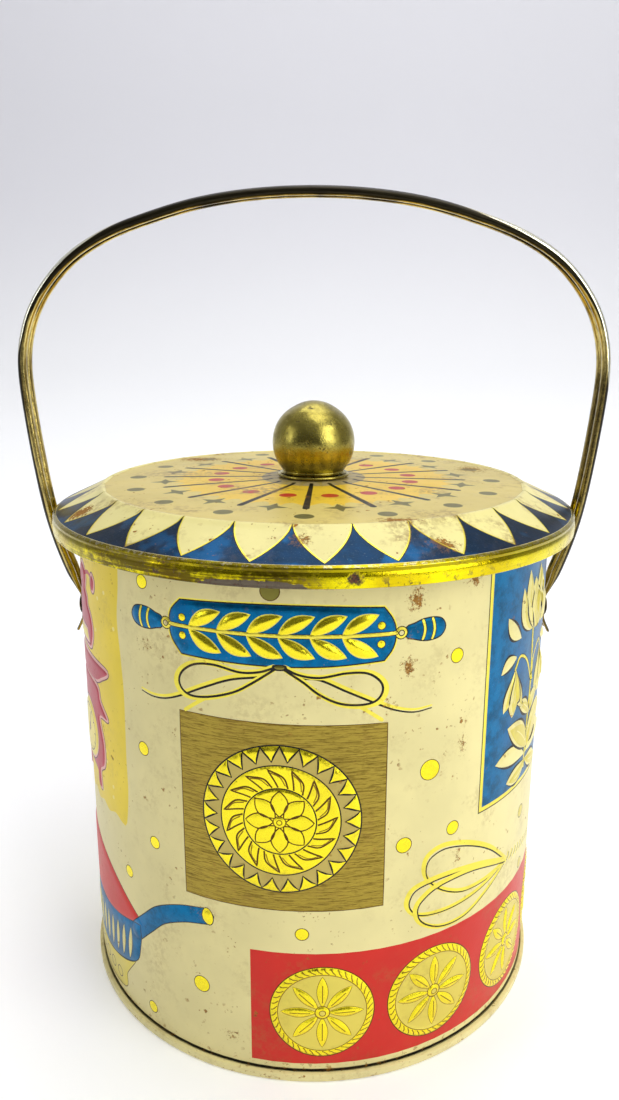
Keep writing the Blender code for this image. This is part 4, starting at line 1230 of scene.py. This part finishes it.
slope = (154.4 - 147.8) / (78.6 - 64.3)
ub = lambda r: 147.8 + (78.6 - r) * slope - 0.3 / math.cos(math.atan(slope)) - 0.35
plug = [(65.6, ub(65.6)), (69.6, ub(69.6)), (70.4, ub(69.9) - 0.25), (70.7, ub(70.7) - 0.7), (70.7, 139.6), (70.5, 138.9), (70.1, 138.62), (69.6, 138.66), (69.35, 138.85),
        (69.5, 139.1), (69.9, 138.95), (70.2, 139.2), (70.4, 139.7), (70.4, ub(70.7) - 0.8), (70.1, ub(69.9) - 0.6), (69.4, ub(69.6) - 0.33), (65.6, ub(65.6) - 0.33)]
turned("lid_plug_turned", plug, 216, [INSIDE], "lid", ("lid_plug_ring",), "bare_tinplate", None, 30)

neck = -math.degrees(math.acos(9.5 / 12.6))
collar_top = 155.5 + 0.3 + 0.9
ball_out = arc(0, KNOB_Z, KNOB_R, 90, neck, 40)[1:]
ball_out = [(0, KNOB_Z + KNOB_R)] + ball_out + [(9.43, 157.64), (9.46, 157.48), (9.6, 157.3), (9.9, 157.12), (10.25, collar_top + 0.3)]
ball_in = [(9.2, collar_top + 0.3), (8.87, 157.7)] + arc(0, KNOB_Z, 12.0, neck - 1, 90, 20)[:-1] + [(0, KNOB_Z + 12.0)]


def dented(v):
    """A soft dent near the top and slight waviness, as hand-worn thin brass has."""
    c = Vector((0, 0, KNOB_Z))
    d = v - c
    if d.length < 1 or v.z < 158:
        return v
    u = d.normalized()
    push = 0.0
    for ax, depth, width in (((-0.48, -0.1, 0.87), 0.4, 0.26), ((0.55, -0.15, 0.82), 0.34, 0.3), ((0.1, -0.5, 0.86), 0.2, 0.2), ((0.62, -0.65, 0.35), 0.14, 0.2), ((-0.7, -0.5, 0.1), 0.14, 0.3)):
        q = u.angle(Vector(ax).normalized())
        push += depth * math.exp(-(q / width) ** 2)
    return v - u * push


turned("knob_ball_spun", ball_out + ball_in, 96, [KNOB], "lid", ("knob_ball",), "brass_finish", None, 45, shape=dented)
turned("knob_collar_turned", [(2.3, 155.8), (10.45, 155.8), (10.85, 155.9), (11.0, 156.12), (10.98, 156.38), (10.8, 156.6), (10.4, 156.7), (2.3, 156.7)],
       96, [KNOB], "lid", ("knob_collar",), "brass_finish", None, 45)

flat = math.cos(PI / 64)
wall_out, wall_in = R * flat, (R - 0.3) * flat
bail_in, bail_out = 73.0, 74.0
for side, word in ((1, "right"), (-1, "left")):
    head, tail = bail_out + 0.3, wall_in - 0.3 - 0.6 - 0.3
    kw = dict(axis="X", at=(0, 0, PIVOT), flip=side < 0)
    prof = [(0, head + 0.7), (0.9, head + 0.67), (1.7, head + 0.57), (2.4, head + 0.4), (2.9, head + 0.2), (3.15, head + 0.06), (3.15, head), (1.5, head), (1.5, tail),
            (2.7, tail), (2.65, tail - 0.35), (2.3, tail - 0.75), (1.5, tail - 1.0), (0, tail - 1.05)]
    turned(f"rivet_{word}", prof, 48, [RIVET], "tin", (f"handle_rivet_{word}",), "brass_finish", None, 45, **kw)

# ------------------------------------------------------------------ bail
BAIL_LINE = [
    (75.3, 106.2), (74.3, 108.3), (73.6, 110.0), (73.5, 110.9), (73.5, 114.2), (73.5, 117.4), (74.5, 119.6), (75.9, 122.8),
    (77.6, 127.2), (79.3, 132.0), (81.3, 139.0), (83.0, 147.0), (84.9, 160.5),
    (86.5, 175.5), (87.3, 187.5), (86.6, 195.0), (84.0, 203.5), (79.2, 211.3),
    (71.5, 219.6), (60.0, 226.4), (49.5, 230.2), (34.5, 234.6), (17.5, 237.2), (0.0, 238.0),
]
half = curve(BAIL_LINE + [(-17.5, 237.2)], 1.3)
half = half[half[:, 0] >= 0]
half = half[:-1] if half[-1, 0] < 1e-6 else half
ramp = lambda x, a, b: (lambda t: t * t * (3 - 2 * t))(min(1.0, max(0.0, (x - a) / (b - a))))


def section(z):
    """The channel's outline: (outwards, across). Crowned outside, rolled edges, a groove between the rolls."""
    op = ramp(z, PIVOT + 3.6, PIVOT + 12.0)
    fl = 1 - ramp(z, PIVOT - 8.0, PIVOT - 2.0)
    w = ((7.4 + 1.4 * fl) * (1 - op) + 7.6 * op) / 2
    h = (1.0 * (1 - op) + 3.0 * op) / 2
    side = [(h, 0.0), (h * 0.99, w * 0.22), (h * 0.93, w * 0.46), (h * 0.78, w * 0.68), (h * 0.5, w * 0.86), (h * 0.1, w * 0.97), (-h * 0.3, w), (-h * 0.68, w * 0.95),
            (-h * 0.93, w * 0.84), (-h, w * 0.7), (-h * 0.96, w * 0.52), (-h * 0.86, w * 0.4), (-h * 0.68 + 0.25 * op, w * 0.31)]
    groove = -h * 0.6 + 0.15 * (1 - op) + 1.0 * op
    side += [(groove * 0.6 - h * 0.25, w * 0.26), (groove, w * 0.17), (groove + 0.05 * op, 0.0)]
    return side + [(a, -b) for a, b in side[::-1][1:-1]]


line = np.array([tuple(p) for p in half] + [(0.0, 238.0)] + [(-p[0], p[1]) for p in half[::-1]])
for _ in range(24):              # the arch is one even sweep
    soft = line.copy()
    soft[1:-1] = 0.25 * line[:-2] + 0.5 * line[1:-1] + 0.25 * line[2:]
    line = np.where(line[:, 1:] > 124.0, soft, line)
verts, faces, lay = [], [], []
loops = []
along = np.concatenate([[0.0], np.cumsum(np.hypot(*np.diff(line, axis=0).T))])
for i, p in enumerate(line):
    a, b = line[max(0, i - 1)], line[min(len(line) - 1, i + 1)]
    dx, dz = b[0] - a[0], b[1] - a[1]
    q = math.hypot(dx, dz)
    ox, oz = dz / q, -dx / q
    loop = []
    outline = section(p[1])
    thick = max(o for o, _ in outline)
    for o, y in outline:
        loop.append(len(verts))
        lay.append((o / thick, along[i]))
        verts.append(((p[0] + ox * o) * MM, y * MM, (p[1] + oz * o) * MM))
    loops.append(loop)
n = len(loops[0])
for a, b in zip(loops, loops[1:]):
    for k in range(n):
        faces.append((a[k], b[k], b[(k + 1) % n], a[(k + 1) % n]))
faces.append(tuple(loops[0]))
faces.append(tuple(loops[-1][::-1]))
bail = add_object("bail_rolled", verts, faces, [BAIL], "bail", ("bail_handle",), flat=np.array(lay, np.float32), sharp=50)
bm = bmesh.new()
bm.from_mesh(bail.data)
bmesh.ops.recalc_face_normals(bm, faces=bm.faces)
bm.to_mesh(bail.data)
bm.free()

for node in ("knob_screw", "knob_washer", "knob_nut", "rivet_washer_left", "rivet_washer_right"):
    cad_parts[node].data.materials.clear()
    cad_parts[node].data.materials.append(STEEL)
for node in ("spacer_washer_left", "spacer_washer_right"):
    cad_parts[node].data.materials.clear()
    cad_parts[node].data.materials.append(RIVET)

# ------------------------------------------------------------------ stage
def paper(name, a, b):
    m = Nodes(name)
    # painted shade: the sweep darkens and cools from the floor up the backdrop
    col = m.mix(m.ramp(m.xyz(m.pos)[2], 0.0, 430.0), a, b)
    col = m.mix(m.math("MULTIPLY", m.noise(0.004, 3), 0.06), col, tuple(c * 0.9 for c in b))
    # painted light: the sweep glows faintly, most at the floor and less up the backdrop
    m.put(m.bsdf.inputs["Emission Color"], m.mix(m.ramp(m.xyz(m.pos)[2], 0.0, 160.0), (1, 1, 1), (0.28, 0.28, 0.29)))
    m.bsdf.inputs["Emission Strength"].default_value = 0.14
    return m.out(col, 0.62, 0.0, m.bump(m.noise(0.4, 3), 0.0002, 0.15))


depth, width, rise, bend = 0.62, 2.6, 2.2, 0.5
prof = [(-1.6, 0.0), (depth, 0.0)]
for i in range(1, 17):
    t = math.radians(90 * i / 16)
    prof.append((depth + bend * math.sin(t), bend * (1 - math.cos(t))))
prof.append((depth + bend, rise))
sv, sf = [], []
for y, z in prof:
    sv += [(-width, y, z - 0.0002), (width, y, z - 0.0002)]
for i in range(len(prof) - 1):
    sf.append((2 * i, 2 * i + 1, 2 * i + 3, 2 * i + 2))
me = bpy.data.meshes.new("sweep")
me.from_pydata(sv, [], sf)
me.shade_smooth()
me.materials.append(paper("studio_sweep", srgb(252, 252, 253), srgb(226, 225, 231)))
sweep = bpy.data.objects.new("sweep", me)
bpy.context.scene.collection.objects.link(sweep)


def area(name, loc, aim, size, power, color=(1, 1, 1), size_y=None):
    data = bpy.data.lights.new(name, "AREA")
    data.shape = "RECTANGLE"
    data.size, data.size_y = size, size_y or size
    data.energy, data.color = power, color
    ob = bpy.data.objects.new(name, data)
    ob.location = loc
    ob.rotation_euler = (Vector(aim) - Vector(loc)).to_track_quat("-Z", "Y").to_euler()
    bpy.context.scene.collection.objects.link(ob)
    return ob


area("key_right", (0.78, -0.66, 0.62), (0, 0, 0.1), 0.8, 7.8, (0.985, 1.0, 0.95), 0.9)
area("top_soft", (0.3, -0.1, 1.9), (0, 0.1, 0.1), 1.2, 12.4)
area("fill_left", (-0.85, -0.25, 0.45), (0, 0, 0.12), 0.24, 1.15, (0.95, 0.97, 1.0), 0.42)
area("back_wash", (0.0, 0.75, 1.7), (0, 1.0, 0.1), 1.4, 6.0, (0.97, 0.98, 1.0), 0.5)
world = bpy.data.worlds.new("studio")
world.use_nodes = True
wt = world.node_tree
bg = wt.nodes["Background"]
bg.inputs["Color"].default_value = (0.88, 0.90, 0.95, 1)
tc = wt.nodes.new("ShaderNodeTexCoord")
sep = wt.nodes.new("ShaderNodeSeparateXYZ")
wt.links.new(tc.outputs["Generated"], sep.inputs[0])
dim = []
for axis, lo, hi, a, b in ((1, -0.35, 0.4, 0.09, 0.46), (2, 0.25, 0.85, 0.0, 0.27)):
    mr = wt.nodes.new("ShaderNodeMapRange")
    mr.interpolation_type = "SMOOTHSTEP"
    wt.links.new(sep.outputs[axis], mr.inputs["Value"])
    for k, v in (("From Min", lo), ("From Max", hi), ("To Min", a), ("To Max", b)):
        mr.inputs[k].default_value = v
    dim.append(mr.outputs["Result"])
add = wt.nodes.new("ShaderNodeMath")
wt.links.new(dim[0], add.inputs[0])
wt.links.new(dim[1], add.inputs[1])
wt.links.new(add.outputs[0], bg.inputs["Strength"])
bpy.context.scene.world = world
bpy.context.scene.view_settings.view_transform = "Standard"

# ------------------------------------------------------------------ camera
pitch, yaw, roll = math.radians(14.475), math.radians(-0.25), math.radians(0.136)
fwd = Vector((math.sin(yaw) * math.cos(pitch), math.cos(yaw) * math.cos(pitch), -math.sin(pitch)))
rgt = Vector((math.cos(yaw), -math.sin(yaw), 0))
up = rgt.cross(fwd)
r2 = rgt * math.cos(roll) + up * math.sin(roll)
u2 = up * math.cos(roll) - rgt * math.sin(roll)
cam = bpy.data.cameras.new("camera")
cam.sensor_width, cam.lens = 36.0, 28.62
cam.clip_start = 0.01
cam_ob = bpy.data.objects.new("camera", cam)
m3 = Matrix((r2, u2, -fwd)).transposed()
cam_ob.matrix_world = Matrix.Translation((0.0, -0.26842, 0.20099)) @ m3.to_4x4()
bpy.context.scene.collection.objects.link(cam_ob)
bpy.context.scene.camera = cam_ob

bpy.context.view_layer.update()
